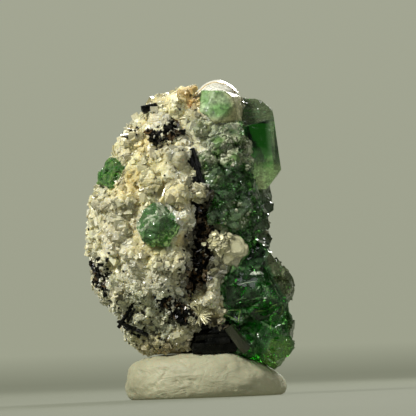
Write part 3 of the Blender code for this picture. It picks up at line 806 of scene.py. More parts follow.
rock_bm = remeshed(nodes["matrix_rock"], ROCK_VOXEL_MM, 1)
for vertex in rock_bm.verts:
    share = clamp((room_round(vertex.co, 2.0) - STILL_MM) / RELIEF_MM)
    vertex.co += vertex.normal * rough_height(local_mm(vertex.co)) * share * MM
rock_bm.normal_update()
colour_layer = rock_bm.verts.layers.float_color.new("Col")
for vertex in rock_bm.verts:
    p = local_mm(vertex.co)
    tint = rock_tone(p)
    # The deeper in a crease, the darker and browner: dirt and painted shade together, less on the lumps.
    crease_dirt_and_shade = 0.6 * crease(p) * (0.2 if lump_at(p)[0] > 0 else 1.0)
    tint = tint.lerp(tint * CREASE_DIRT_AND_SHADE, crease_dirt_and_shade)
    if black_share(p) > 0.25 + 0.4 * noise.noise(p / 1.5):
        tint = tint * 0.2
    vertex[colour_layer] = (*tint, 1.0)

# Shapes of small grains. Each is drawn many times, turned and scaled.
rng = random.Random(5)
chunks = [convex_chunk(rng, 2, (1, rng.uniform(0.7, 1), rng.uniform(0.55, 0.9))) for _ in range(14)]
plates = [convex_chunk(rng, 2, (1, rng.uniform(0.7, 1), 0.16)) for _ in range(8)]
rods = [convex_chunk(rng, 2, (0.32, 0.3, 1.1)) for _ in range(8)]
gems = [convex_chunk(rng, 5) for _ in range(8)]

# Cleavage faces that look this way throw the key light back to the front.
GLINTING = Vector((-0.35, -0.86, 0.4)).normalized()

GRAIN_TRIES = 26000
# No grain is set lower than this, where the rock goes into the putty.
LOWEST_GRAIN_MM = 10.4

grains, clear_grains, flakes, blacks, greens = [], [], [], [], []
for point, normal in surface_points(rock_bm, GRAIN_TRIES, rng):
    p = local_mm(point)
    sugar = sugar_at(p)
    dark = black_share(p)
    if rng.random() > 0.05 + 0.9 * max(sugar, min(1.0, dark * 2.5)):
        continue
    size = 0.28 + 0.75 * rng.random() ** 2.2 + (0.35 if sugar < 0.3 else 0.0)
    if room_round(point, 1.6) < 0.35 + size * 0.6 or p.z < LOWEST_GRAIN_MM:
        continue
    kind = rng.random()
    centre = point - normal * size * rng.uniform(0.05, 0.45) * MM
    tone = rock_tone(p)
    bright = rng.uniform(0.86, 1.1)
    if kind < dark:
        turn = turned_to(normal, rng, 0.9)
        blacks.append((rng.randrange(len(rods)), centre, turn, size * rng.uniform(0.8, 1.4) * MM, BLACK))
    elif kind < dark + 0.18:
        turn = turned_to(normal, rng, 0.8)
        tint = tone.lerp(srgb(228, 222, 190), 0.45) * bright
        # A share of the front flakes is turned to throw the key light to the front and made near white: real
        # reflection with a painted highlight in their colour.
        if normal.y < -0.2 and rng.random() < 0.22:
            size = min(0.42, size * 0.7)
            turn = turned_to(GLINTING, rng, 0.12)
            tint = srgb(250, 247, 230)
        flakes.append((rng.randrange(len(plates)), centre, turn, size * 1.35 * MM, tint))
    elif p.x > 6.5 and p.y < 3 and p.z > 38 and rng.random() < 0.6:
        turn = turned_to(normal, rng, 0.7)
        greens.append((rng.randrange(len(gems)), centre, turn, size * 1.1 * MM, tone))
    elif rng.random() < 0.25:
        turn = turned_to(normal, rng, 0.6)
        tint = tone.lerp(GREY, 0.3) * bright
        clear_grains.append((rng.randrange(len(chunks)), centre, turn, size * 1.15 * MM, tint))
    else:
        turn = turned_to(normal, rng, 0.8)
        grains.append((rng.randrange(len(chunks)), centre, turn, size * MM, tone * bright))

rock = crisp(object_from("rock_ground", rock_bm, rock_mat), 50)
add_piece(rock, "feldspar_rock", "matrix_rock")
strew("feldspar_grains", chunks, grains, feldspar_mat, "feldspar_rock")
strew("quartz_grains", chunks, clear_grains, quartz_mat, "feldspar_rock")
strew("mica_flakes", plates, flakes, flake_mat, "silvery_mica")
strew("tourmaline_grains", rods, blacks, black_mat, "black_tourmaline")

# Fluorite

# What fluorite() takes for each crystal: name, colour that white light is left with, after how many
# millimetres, tint, lowest and highest roughness, depth of the etching and how matt the skin is.
CLEAR = {
    "fluorite_tower":
        ("deep green fluorite", (0.66, 0.84, 0.56), 11, (0.66, 0.96, 0.56), (0.02, 0.08), 0.3, 0.3),
    "fluorite_cluster_lower":
        ("dark green fluorite", (0.38, 0.63, 0.31), 11, (0.44, 0.86, 0.4), (0.03, 0.1), 0.4, 0.3),
    "fluorite_druse_side":
        ("smoky green fluorite", (0.24, 0.38, 0.2), 11, (0.6, 0.8, 0.5), (0.12, 0.26), 0.5, 0.5),
    "fluorite_crust_front":
        ("grey green crust", (0.3, 0.54, 0.24), 7, (0.62, 0.92, 0.55), (0.03, 0.14), 0.9, 0.3),
    "fluorite_front":
        ("light green fluorite", (0.42, 0.72, 0.34), 7, (0.6, 0.95, 0.5), (0.02, 0.1), 0.4, 0.08),
    "fluorite_left":
        ("left green fluorite", (0.42, 0.72, 0.34), 7, (0.6, 0.95, 0.5), (0.03, 0.14), 0.4, 0.12),
    "fluorite_pale_top":
        ("pale fluorite", (0.5, 0.75, 0.42), 8, (0.8, 1.0, 0.74), (0.1, 0.35), 0.5, 0.3),
}


def spots(p, size_mm, seed):
    """Soft spots of about this size, 0 to 1."""
    return clamp(0.5 + 2.4 * noise.noise(p / size_mm + Vector((seed, seed * 2, 5))))


def etched(p, amount):
    """Growth steps and dents on a crystal's faces, in millimetres."""
    step = noise.noise(Vector((p.x * 0.5, p.y * 0.5, p.z * 1.2)) + Vector((3, 3, 3)))
    return amount * (0.13 * round(step * 5) / 2.5 + 0.07 * noise.noise(p / 0.8)) - 0.05


def facet_edge(p, cell_mm, width):
    """1 on the joints between facets of this cell size, falling to 0 at this width."""
    near = noise.voronoi(p / cell_mm)[0]
    return max(0.0, 1 - (near[1] - near[0]) / width)


# Each look gives, for a place in millimetres, the normal and the nearness of an edge (0 to 1):
# the push along the normal in millimetres, the share of matt skin and its colour. The skin is frost in most
# places; in a few it is painted light: glow on the tower's foot and the lower cluster's band, glints on the
# front crystal.
def tower_look(p, normal, edge):
    cap = float(normal.z > 0.22 and p.z > 62)
    # The foot gets a pale, bright yellow-green skin: partly milky crystal, partly painted glow of light
    # coming through the thin foot.
    milky_glowing_foot = slope(p.z + 1.2 * noise.noise(p / 2.5), 61.0, 54.5)
    rim = slope(p.x, 17.4, 18.8) * slope(p.z, 58.5, 62) * (1 - cap)
    frost_and_glow = max(0.56 * cap, 0.72 * milky_glowing_foot, 0.2 * rim) + 0.25 * edge * spots(p, 1.5, 3)
    tint = srgb(98, 110, 80).lerp(srgb(222, 255, 184), milky_glowing_foot)
    # The lower left corner of the foot is lightened further as a painted glint.
    tint = tint.lerp(srgb(240, 250, 190), 0.7 * slope(p.z, 55.5, 53.0) * slope(p.x, 17.5, 16.0))
    peak = 1.4 * slope(p.x, 13.5, 9.5) * slope(p.z, 71.0, 74.0)
    push = etched(p, 0.12 + 0.38 * cap) + 0.1 * cap * facet(p, 2.4, 0.5) + peak
    return push, frost_and_glow, tint.lerp(srgb(150, 164, 122), rim)


def cluster_look(p, normal, edge):
    moved = p + Vector((5, 5, 5))
    joint = facet_edge(moved, 4.6, 0.02) * spots(p, 2.8, 4)
    push = etched(p, 0.4) + facet(moved, 4.6, 0.36) + facet(p, 2.2, 0.12) - 0.25
    line = 16.0 + 0.24 * max(0.0, 34.6 - p.z) + 0.33 * max(0.0, 30.4 - p.z)
    rim = slope(p.x - min(line, 21.3), -0.2, 1.0) * slope(p.z, 36.5, 34.0) * slope(p.z, 7.0, 10.0)
    # A paler green band at the lower right: painted glow of light coming through the thinner crystal there.
    glowing_band = slope(p.x - 0.55 * (p.z - 8.0), 12.6, 14.6) * slope(p.z, 15.5, 13.5) * (1 - rim)
    glow = 0.03 * spots(p, 3.4, 8) + 0.05 * spots(p, 1.5, 13) ** 2
    frost_and_glow = max(glow, 0.55 * rim, 0.42 * glowing_band, 0.45 * max(edge * spots(p, 1.5, 3), joint))
    tint = srgb(50, 124, 40).lerp(srgb(150, 190, 120), max(edge, joint))
    tint = tint.lerp(srgb(124, 134, 98), rim).lerp(srgb(150, 200, 100), glowing_band)
    return push, frost_and_glow, tint


def druse_look(p, normal, edge):
    frost_and_glow = 0.32 + 0.2 * spots(p, 2.0, 9) * spots(p, 0.7, 5) + 0.2 * edge
    return etched(p, 0.7) + facet(p, 1.9, 0.22) - 0.1, frost_and_glow, srgb(66, 84, 48)


def crust_look(p, normal, edge):
    upper = slope(p.z, 55.5, 58.5)
    left = slope(p.x, 7.5, 4.5) * slope(p.z, 50, 53)
    knob = slope((p.x - 9.4) ** 2 + (p.z - 44.5) ** 2, 16, 9)
    frost_and_glow = max(upper, 0.6 * left, 0.6 * knob) * (0.35 + 0.6 * spots(p, 2.6, 2)) + 0.1 * spots(p, 1.2, 7)
    tint = srgb(112, 142, 84).lerp(srgb(196, 200, 170), spots(p, 2.2, 12) * max(upper, 0.3 * knob))
    return etched(p, 1.0) + facet(p, 2.8, 0.22) - 0.1, frost_and_glow, tint


def front_look(p, normal, edge):
    across = p.x + 9.8
    up = p.z - 43.0
    upper_left = slope(0.3 * up - 0.25 * across, -0.3, 0.8)
    # Towards the lower right a bright pale skin is painted as sparkle, standing in for glints inside the
    # crystal.
    sparkle = slope(0.5 * across - up, 1.6, 3.2)
    joint = facet_edge(p, 2.5, 0.03) * spots(p, 1.1, 8)
    milky = upper_left * spots(p, 1.2, 3)
    sparkle = sparkle * spots(p, 0.6, 4)
    frost_and_glow = 0.2 + 0.44 * milky + 0.6 * sparkle + 0.3 * max(joint, edge * 0.6)
    tint = srgb(66, 150, 46).lerp(srgb(204, 216, 186), milky)
    tint = tint.lerp(srgb(204, 244, 160), sparkle)
    return etched(p, 0.8) + facet(p, 2.5, 0.36) - 0.1, frost_and_glow, tint.lerp(srgb(214, 222, 192), 0.6 * joint)


def left_look(p, normal, edge):
    tint = srgb(68, 138, 44).lerp(srgb(156, 194, 112), 0.8 * spots(p, 1.1, 6))
    return etched(p, 1.0) + facet(p, 1.9, 0.4) - 0.1, 0.3 + 0.14 * spots(p, 0.8, 2) + 0.2 * edge, tint


def pale_look(p, normal, edge):
    rim = slope((p.x - 5.4) ** 2 * 0.9 + (p.z - 72.4) ** 2, 7, 17) * slope(p.x - p.z * 0.7, -47.5, -44.0)
    green = srgb(136, 182, 110).lerp(srgb(182, 202, 156), 0.8 * spots(p, 2.6, 8))
    tint = green.lerp(srgb(214, 206, 158), 0.9 * rim)
    return etched(p, 0.6) + 0.15 * noise.noise(p / 2.2), 0.6 + 0.15 * spots(p, 2.2, 8), tint


# How each crystal is drawn: its look, and how finely its copy is meshed.
LOOKS = {
    "fluorite_tower": (tower_look, 7),
    "fluorite_cluster_lower": (cluster_look, 7),
    "fluorite_druse_side": (druse_look, 7),
    "fluorite_crust_front": (crust_look, 7),
    "fluorite_front": (front_look, 6),
    "fluorite_left": (left_look, 6),
    "fluorite_pale_top": (pale_look, 6),
}


EDGE_STEP_MM = 0.15
SHARP_EDGE_DEGREES = 22


def edge_places(name):
    """A search tree of places along a CAD node's sharp edges."""
    bm = cad_mesh(name)
    bmesh.ops.remove_doubles(bm, verts=bm.verts[:], dist=0.002 * MM)
    places = []
    for edge in bm.edges:
        if len(edge.link_faces) == 2 and edge.calc_face_angle() > math.radians(SHARP_EDGE_DEGREES):
            first, last = edge.verts[0].co, edge.verts[1].co
            steps = max(1, int((last - first).length / (EDGE_STEP_MM * MM)))
            places.extend(first.lerp(last, i / steps) for i in range(steps + 1))
    bm.free()
    tree = KDTree(len(places))
    for index, place in enumerate(places):
        tree.insert(place, index)
    tree.balance()
    return tree


def tucked_in(p):
    """How many millimetres the crust's upper right side is drawn in, so that more of the tower shows."""
    return 0.42 * max(0.0, p.x - 11.0) * slope(p.z, 45, 51)


# The small crystals that are drawn a little larger and lower than their solids: middle, growth, drop in mm.
GROWN = {
    "fluorite_pale_top": ((5.4, -8.2, 72.6), 1.07, 0.3),
    "fluorite_front": ((-9.8, -18.4, 43.0), 1.07, 0.55),
    "fluorite_left": ((-20.0, -9.4, 55.8), 1.1, 0.5),
}

# Curved cracks inside the crystals: middle, reach in each direction, how many and the largest radius.
CRACKS = {
    "fluorite_cluster_lower": [
        ((12.4, -12.6, 26.0), (5.4, 1.6, 5.8), 26, 2.6),
        ((14.0, -8.6, 15.0), (4.5, 1.6, 3.5), 14, 1.8),
    ],
    "fluorite_front": [((-9.6, -19.6, 42.6), (2.0, 1.0, 2.0), 7, 1.2)],
    "fluorite_left": [((-20.0, -11.0, 55.4), (1.2, 0.6, 1.2), 4, 0.9)],
    "fluorite_crust_front": [((9.5, -14.5, 52.0), (3.0, 1.0, 5.0), 8, 1.2)],
}
CRACK_HALF_GAP_MM = 0.03
CRACK_SECTORS, CRACK_STEPS = 18, 5
crack_rng = random.Random(21)


def crack_side(bm, middle, turn, radius, bend, side):
    """One side of a crack: rings of vertices round its middle, wavy and bent."""
    rings = [[bm.verts.new(middle + turn @ Vector((0, 0, side * CRACK_HALF_GAP_MM)) * MM)]]
    for step in range(1, CRACK_STEPS + 1):
        ring = []
        for sector in range(CRACK_SECTORS):
            angle = 2 * math.pi * sector / CRACK_SECTORS
            wave = 1 + 0.35 * noise.noise(Vector((2 * math.cos(angle), 2 * math.sin(angle), middle.x * 900)))
            out = radius * wave * step / CRACK_STEPS
            x, y = out * math.cos(angle), out * math.sin(angle) * 0.7
            ripple = noise.noise(Vector((x, y, middle.z * 900)) / radius)
            lift = bend * (x * x + 0.4 * y * y) + 0.14 * radius * ripple
            ring.append(bm.verts.new(middle + turn @ Vector((x, y, lift + side * CRACK_HALF_GAP_MM)) * MM))
        rings.append(ring)
    return rings


def crack(bm, layer, middle, facing, radius, bend):
    """A thin curved gap in a crystal, closed, with its faces turned inwards. The radius is in mm."""
    turn = turn_of(facing.orthogonal().normalized(), facing)
    sides = [crack_side(bm, middle, turn, radius, bend, side) for side in (-1, 1)]
    for rings, flip in zip(sides, (False, True)):
        fan(bm, rings[1], rings[0][0], flip)
        for low, high in zip(rings[1:], rings[2:]):
            bridge(bm, low, high, flip)
    bridge(bm, sides[0][-1], sides[1][-1], flip=True)
    for rings in sides:
        for vertex in sum(rings, []):
            vertex[layer] = (0.5, 0.7, 0.4, 0.0)


def add_cracks(name, bm, layer):
    """The cracks of a crystal. Half of them are turned so that their upper side shows from the front."""
    for middle, reach, amount, largest in CRACKS.get(name, []):
        for _ in range(amount):
            at = place_at(*[m + crack_rng.uniform(-r, r) for m, r in zip(middle, reach)])
            facing = compass(crack_rng.gauss(-90, 30), crack_rng.choice((-1, 1)) * crack_rng.uniform(42, 72))
            if crack_rng.random() < 0.5:
                facing = compass(crack_rng.gauss(-104, 20), crack_rng.gauss(34, 14))
            radius = largest * crack_rng.uniform(0.4, 1.0)
            crack(bm, layer, at, facing, radius, crack_rng.uniform(-0.3, 0.3) / radius)


# The pale crystal is rounded, so it is meshed evenly and smooth all over. The others keep their edges.
PALE_VOXEL_MM, PALE_SMOOTHING = 0.3, 14

for name, (look, depth) in LOOKS.items():
    pale = name == "fluorite_pale_top"
    bm = remeshed(nodes[name], PALE_VOXEL_MM, PALE_SMOOTHING) if pale else faceted(nodes[name], depth)
    edges = edge_places(name)
    layer = bm.verts.layers.float_color.new("FrostAndGlow")
    for vertex in bm.verts:
        if name == "fluorite_crust_front":
            vertex.co.x -= tucked_in(local_mm(vertex.co)) * MM
        edge = max(0.0, 1 - edges.find(vertex.co)[2] / (0.35 * MM))
        push, frost_and_glow, tint = look(local_mm(vertex.co), vertex.normal, edge)
        vertex[layer] = (*tint, min(1.0, frost_and_glow))
        vertex.co += vertex.normal * push * MM
        if name in GROWN:
            middle, growth, drop = GROWN[name]
            middle = place_at(*middle)
            vertex.co = middle + (vertex.co - middle) * growth - Vector((0, 0, drop)) * MM
    if name == "fluorite_cluster_lower":
        cluster_tree = BVHTree.FromBMesh(bm)
    add_cracks(name, bm, layer)
    piece = crisp(object_from(name + "_crystals", bm, fluorite(*CLEAR[name])), 180 if pale else 20)
    add_piece(piece, "pale_fluorite" if pale else "green_fluorite", name)


def node_points(name, low_mm=-math.inf, high_mm=math.inf):
    """The corners of a CAD node that lie between two heights."""
    points = [vertex.co.copy() for vertex in nodes[name].data.vertices]
    return [point for point in points if low_mm < local_mm(point).z < high_mm]


# Inner zones stay this far inside their crystal, and their colour is what this much of them leaves of white
# light.
SKIN_MM, ZONE_DEPTH_MM = 0.5, 11


def inner_zone(name, points, pivot, kept, colour_over, crystal):
    """An earlier, deeper green stage of a crystal, inside it. The crystal is given as a search tree.

    It is the hull of these points, drawn in towards the pivot with the kept share in each direction. It
    doesn't refract, as it is the same mineral as what is round it.
    """
    bm = bmesh.new()
    pivot = place_at(*pivot)
    for point in points:
        bm.verts.new(Vector([c + (a - c) * share for a, c, share in zip(point, pivot, kept)]))
    hull = bmesh.ops.convex_hull(bm, input=bm.verts[:])
    spare = [v for v in hull["geom_interior"] + hull["geom_unused"] if isinstance(v, bmesh.types.BMVert)]
    bmesh.ops.delete(bm, geom=list(set(spare)), context="VERTS")
    bmesh.ops.subdivide_edges(bm, edges=bm.edges[:], cuts=5, use_grid_fill=True)
    bm.normal_update()
    for vertex in bm.verts:
        p = local_mm(vertex.co)
        vertex.co += vertex.normal * (0.5 * noise.noise(p / 2.6) + 0.25 * noise.noise(p / 1.1)) * MM
        near, out = crystal.find_nearest(vertex.co)[:2]
        if (vertex.co - near).dot(out) > -SKIN_MM * MM:
            vertex.co = near - out * SKIN_MM * MM
    n = Nodes(name)
    n.set(IOR=1.0, Transmission_Weight=1.0, Roughness=0.0)
    n.feed(n.ramp(n.noise(0.4, 3), [(0.3, (1, 1, 1)), (0.7, (0.96, 1, 0.96))]), "Base Color")
    absorption(n, colour_over, ZONE_DEPTH_MM)
    add_piece(object_from(name, bm, n.material, smooth=True), "green_fluorite")


def add_inner_zones():
    tower, cluster = "fluorite_tower", "fluorite_cluster_lower"
    tower_points = node_points(tower)
    upper_points = node_points(cluster, low_mm=20)
    foot_points = node_points(cluster, high_mm=22)
    tower_green, cluster_green, foot_green = (0.04, 0.2, 0.035), (0.08, 0.4, 0.06), (0.08, 0.42, 0.06)
    tower_kept, upper_kept, foot_kept = (0.74, 0.8, 0.6), (0.8, 0.8, 0.82), (0.6, 0.74, 0.66)
    inner_zone("tower_phantom", tower_points, (13.2, 2.0, 68.0), tower_kept, tower_green, tree_of([tower]))
    inner_zone("upper_phantom", upper_points, (12.6, -3.0, 28.0), upper_kept, cluster_green, cluster_tree)
    inner_zone("foot_phantom", foot_points, (11.4, -2.0, 14.8), foot_kept, foot_green, cluster_tree)


add_inner_zones()

veil = Nodes("fluorite veils")
veil_colours = [(0.35, (0.3, 0.5, 0.26)), (0.65, (0.7, 0.85, 0.62))]
veil.feed(veil.ramp(veil.noise(0.8, 4), veil_colours), "Base Color")
veil.set(Roughness=0.15, Alpha=0.3, IOR=1.6)

# Thin veils of bubbles inside the large crystals: middle, reach in each direction and how many.
VEILS = [
    ((13.8, -5.5, 27.8), (5.0, 3.0, 4.6), 22),
    ((13.6, -4.5, 15.5), (4.5, 3.0, 4.0), 10),
    ((15.2, -1.5, 57.5), (2.2, 2.5, 2.5), 5),
]
sheets = []
for middle, reach, amount in VEILS:
    for _ in range(amount):
        at = place_at(*[m + rng.uniform(-r, r) for m, r in zip(middle, reach)])
        family = rng.choice(((1, -1, 1), (1, -1, -1), (1, 1, 1), (-1, -1, 1)))
        turn = turned_to(Vector(family).normalized(), rng, 0.18)
        sheets.append((rng.randrange(len(plates)), at, turn, rng.uniform(0.5, 1.9) * MM, (0.5, 0.7, 0.5)))
thin = [(points * (1, 1, 0.16), faces) for points, faces in plates]
strew("fluorite_veils", thin, sheets, veil.material, "green_fluorite")

WHITE_GLINT, PALE_GLINT, DULL_GLINT = srgb(232, 238, 222), srgb(176, 190, 164), srgb(98, 122, 84)
GREEN_GLINT, LEAF_GLINT = srgb(146, 186, 100), srgb(150, 186, 100)
# Painted glints and painted light lines along facet edges on the dark cluster's front: x, z, half length,
# half width, bow, roll, colour.
PAINTED_GLINTS = [
    (13.8, 30.1, 1.75, 0.4, 0.22, 0, WHITE_GLINT),
    (11.2, 27.8, 2.6, 0.07, 0.06, 9, PALE_GLINT),
    (15.6, 27.4, 1.5, 0.55, 0.1, 78, srgb(116, 138, 104)),
    (14.0, 26.4, 0.7, 0.12, 0.1, 40, PALE_GLINT),
    (15.6, 23.9, 0.35, 0.16, 0.0, 10, WHITE_GLINT),
    (14.3, 20.8, 1.5, 0.08, 0.14, 4, LEAF_GLINT),
    (19.6, 20.8, 1.9, 0.07, -0.3, 84, srgb(140, 180, 92)),
    (18.7, 25.2, 2.1, 0.06, -0.16, -64, DULL_GLINT),
    (16.9, 28.6, 1.8, 0.05, -0.1, -72, DULL_GLINT),
    (7.6, 21.3, 2.0, 0.07, 0.0, 0, GREEN_GLINT),
    (6.9, 19.6, 2.0, 0.09, 0.05, -38, GREEN_GLINT),
    (9.1, 19.7, 1.6, 0.07, 0.05, 74, GREEN_GLINT),
    (10.5, 19.4, 1.1, 0.42, 0.1, 28, DULL_GLINT),
    (9.4, 23.8, 1.8, 0.05, 0.1, 14, DULL_GLINT),
    (12.6, 22.4, 1.4, 0.06, -0.2, -20, DULL_GLINT),
    (17.4, 21.8, 1.2, 0.06, 0.2, 40, GREEN_GLINT),
    (17.0, 17.4, 1.6, 0.07, 0.1, 62, GREEN_GLINT),
    (13.6, 15.4, 1.2, 0.05, 0.2, -30, DULL_GLINT),
]


GLINT_STEPS = 10
BACKWARD = Vector((0, 1, 0))


def chip(bm, layer, at, base, half_length, half_width, bow, colour):
    """A thin painted glint that narrows to both ends, may be bowed and follows the facets of the dark
    cluster.
    """
    rows = []
    for step in range(GLINT_STEPS + 1):
        along = -1 + 2 * step / GLINT_STEPS
        wide = half_width * max(0.12, 1 - along * along) ** 0.8
        side = bow * (along * along - 0.4) * half_length
        middle = at + base @ Vector((along * half_length, side, 0)) * MM
        below = cluster_tree.ray_cast(middle - 3 * BACKWARD * MM, BACKWARD, 6 * MM)[0]
        if below is not None:
            middle = below
        corners = ((-wide, -0.05), (wide, -0.05), (wide * 0.6, 0.1), (-wide * 0.6, 0.1))
        rows.append([bm.verts.new(middle + base @ Vector((0, b, c)) * MM) for b, c in corners])
    for low, high in zip(rows, rows[1:]):
        for i in range(4):
            j = (i + 1) % 4
            bm.faces.new((low[i], high[i], high[j], low[j]))
    bm.faces.new(rows[0])
    bm.faces.new(rows[-1][::-1])
    for vertex in sum(rows, []):
        vertex[layer] = (*colour, 1.0)


def build_painted_glints(bm, layer):
    """The painted glints, each on the first facet that a line of sight from the front meets."""
    for x, z, half_length, half_width, bow, roll, colour in PAINTED_GLINTS:
        hit, out = cluster_tree.ray_cast(place_at(x, -40, z), BACKWARD)[:2]
        if hit is None:
            continue
        across = out.cross(Vector((0, 0, 1))).normalized()
        base = turn_of(across, out) @ Matrix.Rotation(math.radians(roll), 3, "Z")
        chip(bm, layer, hit, base, half_length, 1.2 * half_width + 0.04, bow, colour)


# Pale strips laid on the dark cluster: painted glints and painted light along its edges.
glint_mat = grain_material("painted glints", rough=(0.1, 0.25), soft=0.0, clear=0.25)
built_piece("fluorite_painted_glints", build_painted_glints, glint_mat, "green_fluorite")

frost_mat = grain_material("frosted green grains", rough=(0.12, 0.4), soft=0.2, clear=0.2)
gem_mat = fluorite("small green crystals", (0.4, 0.66, 0.32), 3, (0.75, 1.0, 0.7), (0.05, 0.2), 0.3)
frosts = []
for name, amount in (("fluorite_crust_front", 1700), ("fluorite_druse_side", 500)):
    on_crust = name == "fluorite_crust_front"
    bm = cad_mesh(name)
    for point, normal in surface_points(bm, amount, rng):
        p = local_mm(point)
        frost_and_glow = crust_look(p, normal, 0.0)[1] if on_crust else 0.2
        size = rng.uniform(0.16, 0.5)
        at = point - normal * size * 0.25 * MM
        if on_crust:
            at = at - Vector((tucked_in(p), 0, 0)) * MM
        if rng.random() < frost_and_glow * 1.2 - 0.15:
            tint = srgb(150, 164, 124).lerp(WHITE, rng.random() ** 2 * 0.8) * rng.uniform(0.65, 1.05)
            frosts.append((rng.randrange(len(gems)), at, turned_to(normal, rng, 0.7), size * MM, tint))
        elif rng.random() < 0.07:
            tint = (0.2, 0.4, 0.2)
            greens.append((rng.randrange(len(gems)), at, turned_to(normal, rng, 0.7), size * 1.6 * MM, tint))
    bm.free()
strew("frosted_grains", gems, frosts, frost_mat, "pale_fluorite")
strew("fluorite_grains", gems, greens, gem_mat, "green_fluorite")

# Mica

PEARL = srgb(206, 202, 168)
pearl_mat = mica_material("pearly mica sheets", (0.94, 0.9, 0.78), 0.08)


# Books of mica: middle, the azimuth and elevation that they face, radius and number of plates.
BOOK_STACKS = [
    ((8.9, -14.9, 36.6), -84, -4, 3.1, 9),
    ((8.3, -13.8, 36.3), -98, 4, 3.4, 8),
    ((9.4, -12.7, 35.1), -72, -16, 3.1, 9),
    ((7.4, -15.0, 39.0), -110, 30, 1.6, 6),
    ((6.6, -14.9, 33.8), -100, -24, 1.9, 6),
    ((8.6, -14.4, 33.0), -70, -10, 1.7, 6),
]
BUNCH_STACKS = [
    ((3.9, -16.2, 38.6), -100, 48, 1.7, 7),
    ((5.4, -15.6, 37.6), -64, 58, 1.6, 6),
    ((4.4, -15.0, 36.0), -130, 14, 1.8, 7),
    ((4.2, -15.0, 40.2), -50, 20, 1.5, 6),
]
BUNCH_FLAKES = 150


def build_stacks(bm, layer, stacks, thickness, tint, cup, narrowing):
    for centre, azimuth, elevation, radius, count in stacks:
        at, facing = place_at(*centre), compass(azimuth, elevation)
        mica_stack(bm, layer, at, facing, radius, count, thickness, rng, tint, cup, narrowing)


def build_book(bm, layer):
    build_stacks(bm, layer, BOOK_STACKS, 0.1, PEARL * 1.25, 0.01, 0.5)


def build_bunch(bm, layer):
    """A few books with flakes strewn over them, all facing up and to the front."""
    # The bunch's books and flakes are made much brighter than the other mica, up to nearly twice pearl on
    # the flakes that face the key light: real silvery reflection with a painted highlight on top.
    build_stacks(bm, layer, BUNCH_STACKS, 0.09, PEARL * 1.6, 0.03, 0.6)
    for _ in range(BUNCH_FLAKES):
        at = place_at(rng.gauss(4.7, 1.1), rng.uniform(-16.9, -15.3), rng.gauss(37.9, 1.0))
        facing = compass(rng.gauss(-110, 26), rng.gauss(28, 16))
        tint = PEARL * rng.uniform(1.0, 1.9)
        mica_stack(bm, layer, at, facing, rng.uniform(0.35, 0.85), 2, 0.06, rng, tint, 0.03)


FAN_BLADES = 90
BLADE_CORNERS = 10


def build_fan(bm, layer):
    """Thin blades round one point, over the half that faces the front."""
    root = place_at(-0.7, -14.0, 20.6)
    for _ in range(FAN_BLADES):
        angle = rng.uniform(0, 2 * math.pi)
        length = rng.uniform(2.0, 3.7)
        along = Vector((math.cos(angle), rng.uniform(-0.75, -0.05), math.sin(angle))).normalized()
        across = Vector((-math.sin(angle), rng.uniform(-0.5, 0.5), math.cos(angle)))
        across = (across - along * across.dot(along)).normalized()
        turn = turn_of(along, across)
        outline = []
        for i in range(BLADE_CORNERS):
            turned = 2 * math.pi * i / BLADE_CORNERS
            x, y = math.cos(turned), math.sin(turned)
            outline.append((x * length / 2, y * (0.55 + 0.45 * x) * 0.5 * rng.uniform(0.8, 1.15)))
        tint = PEARL * rng.uniform(1.1, 1.7)
        outline_plate(bm, root + along * length * 0.5 * MM, turn, outline, 0.11, 0.02, tint, layer)


# The cap of mica: its arch as (x, z), the y it is highest at, how far it reaches to the front and back of
# that, how many sheets it has, their spacing and thickness, and the steps along and across each sheet.
CAP_ARCH = [(0.2, 73.9), (1.2, 75.3), (3.0, 77.1), (5.4, 78.0), (7.8, 77.6), (9.9, 76.2), (11.0, 74.9)]
CAP_CREST, CAP_FRONT, CAP_BACK = -3.9, 4.4, 4.6
CAP_SHEETS, CAP_SPACING, CAP_THICKNESS = 10, 0.21, 0.17
CAP_STEPS, CAP_STRIPS = 24, 8
CAP_WHITE, CAP_BUFF = srgb(255, 253, 240), srgb(244, 230, 196)
CAP_BROWN_EDGE = Vector((0.84, 0.68, 0.44))


def rounded(points, times):
    """A line with its corners cut off again and again, and its ends kept."""
    for _ in range(times):
        cut = [a.lerp(b, t) for a, b in zip(points, points[1:]) for t in (0.25, 0.75)]
        points = [points[0]] + cut[1:-1] + [points[-1]]
    return points


def on_line(points, share):
    """The place on a line after this share of its points."""
    place = share * (len(points) - 1)
    i = min(int(place), len(points) - 2)
    return points[i].lerp(points[i + 1], place - i)


def cap_row(arch, share, i, reach, lift, thick, sheet, seed):
    """A row of places across a sheet of the cap, from front to back."""
    here = on_line(arch, share)
    near = on_line(arch, min(1, share + 0.03)) - on_line(arch, max(0, share - 0.03))
    up = Vector((-near.y, near.x)).normalized()
    squeeze = 0.55 + 0.45 * math.sin(math.pi * clamp(share * 0.9 + 0.08))
    girth = (1 - abs(2 * i / CAP_STEPS - 1) ** 3) ** 0.5 * 0.55 + 0.45
    front = CAP_CREST - CAP_FRONT * reach * girth + 0.3 * noise.noise(Vector((share * 7, seed, 1)))
    back = CAP_CREST + CAP_BACK * reach * girth + 0.8 * noise.noise(Vector((share * 5, seed, 9)))
    row = []
    for j in range(CAP_STRIPS + 1):
        y = front + (back - front) * j / CAP_STRIPS
        shared = 0.12 * noise.noise(Vector((share * 6, y, 3)))
        own = 0.02 * noise.noise(Vector((share * 9, y, sheet)))
        rise = (lift + thick) * squeeze + (shared + own)
        behind, before = max(0.0, (y - CAP_CREST) / CAP_BACK), max(0.0, (CAP_CREST - y) / CAP_FRONT)
        at = here + up * (rise - (0.5 * behind**2 + 2.0 * before**2))
        row.append(place_at(at.x + 0.04 * (y + 4), y, at.y))
    return row


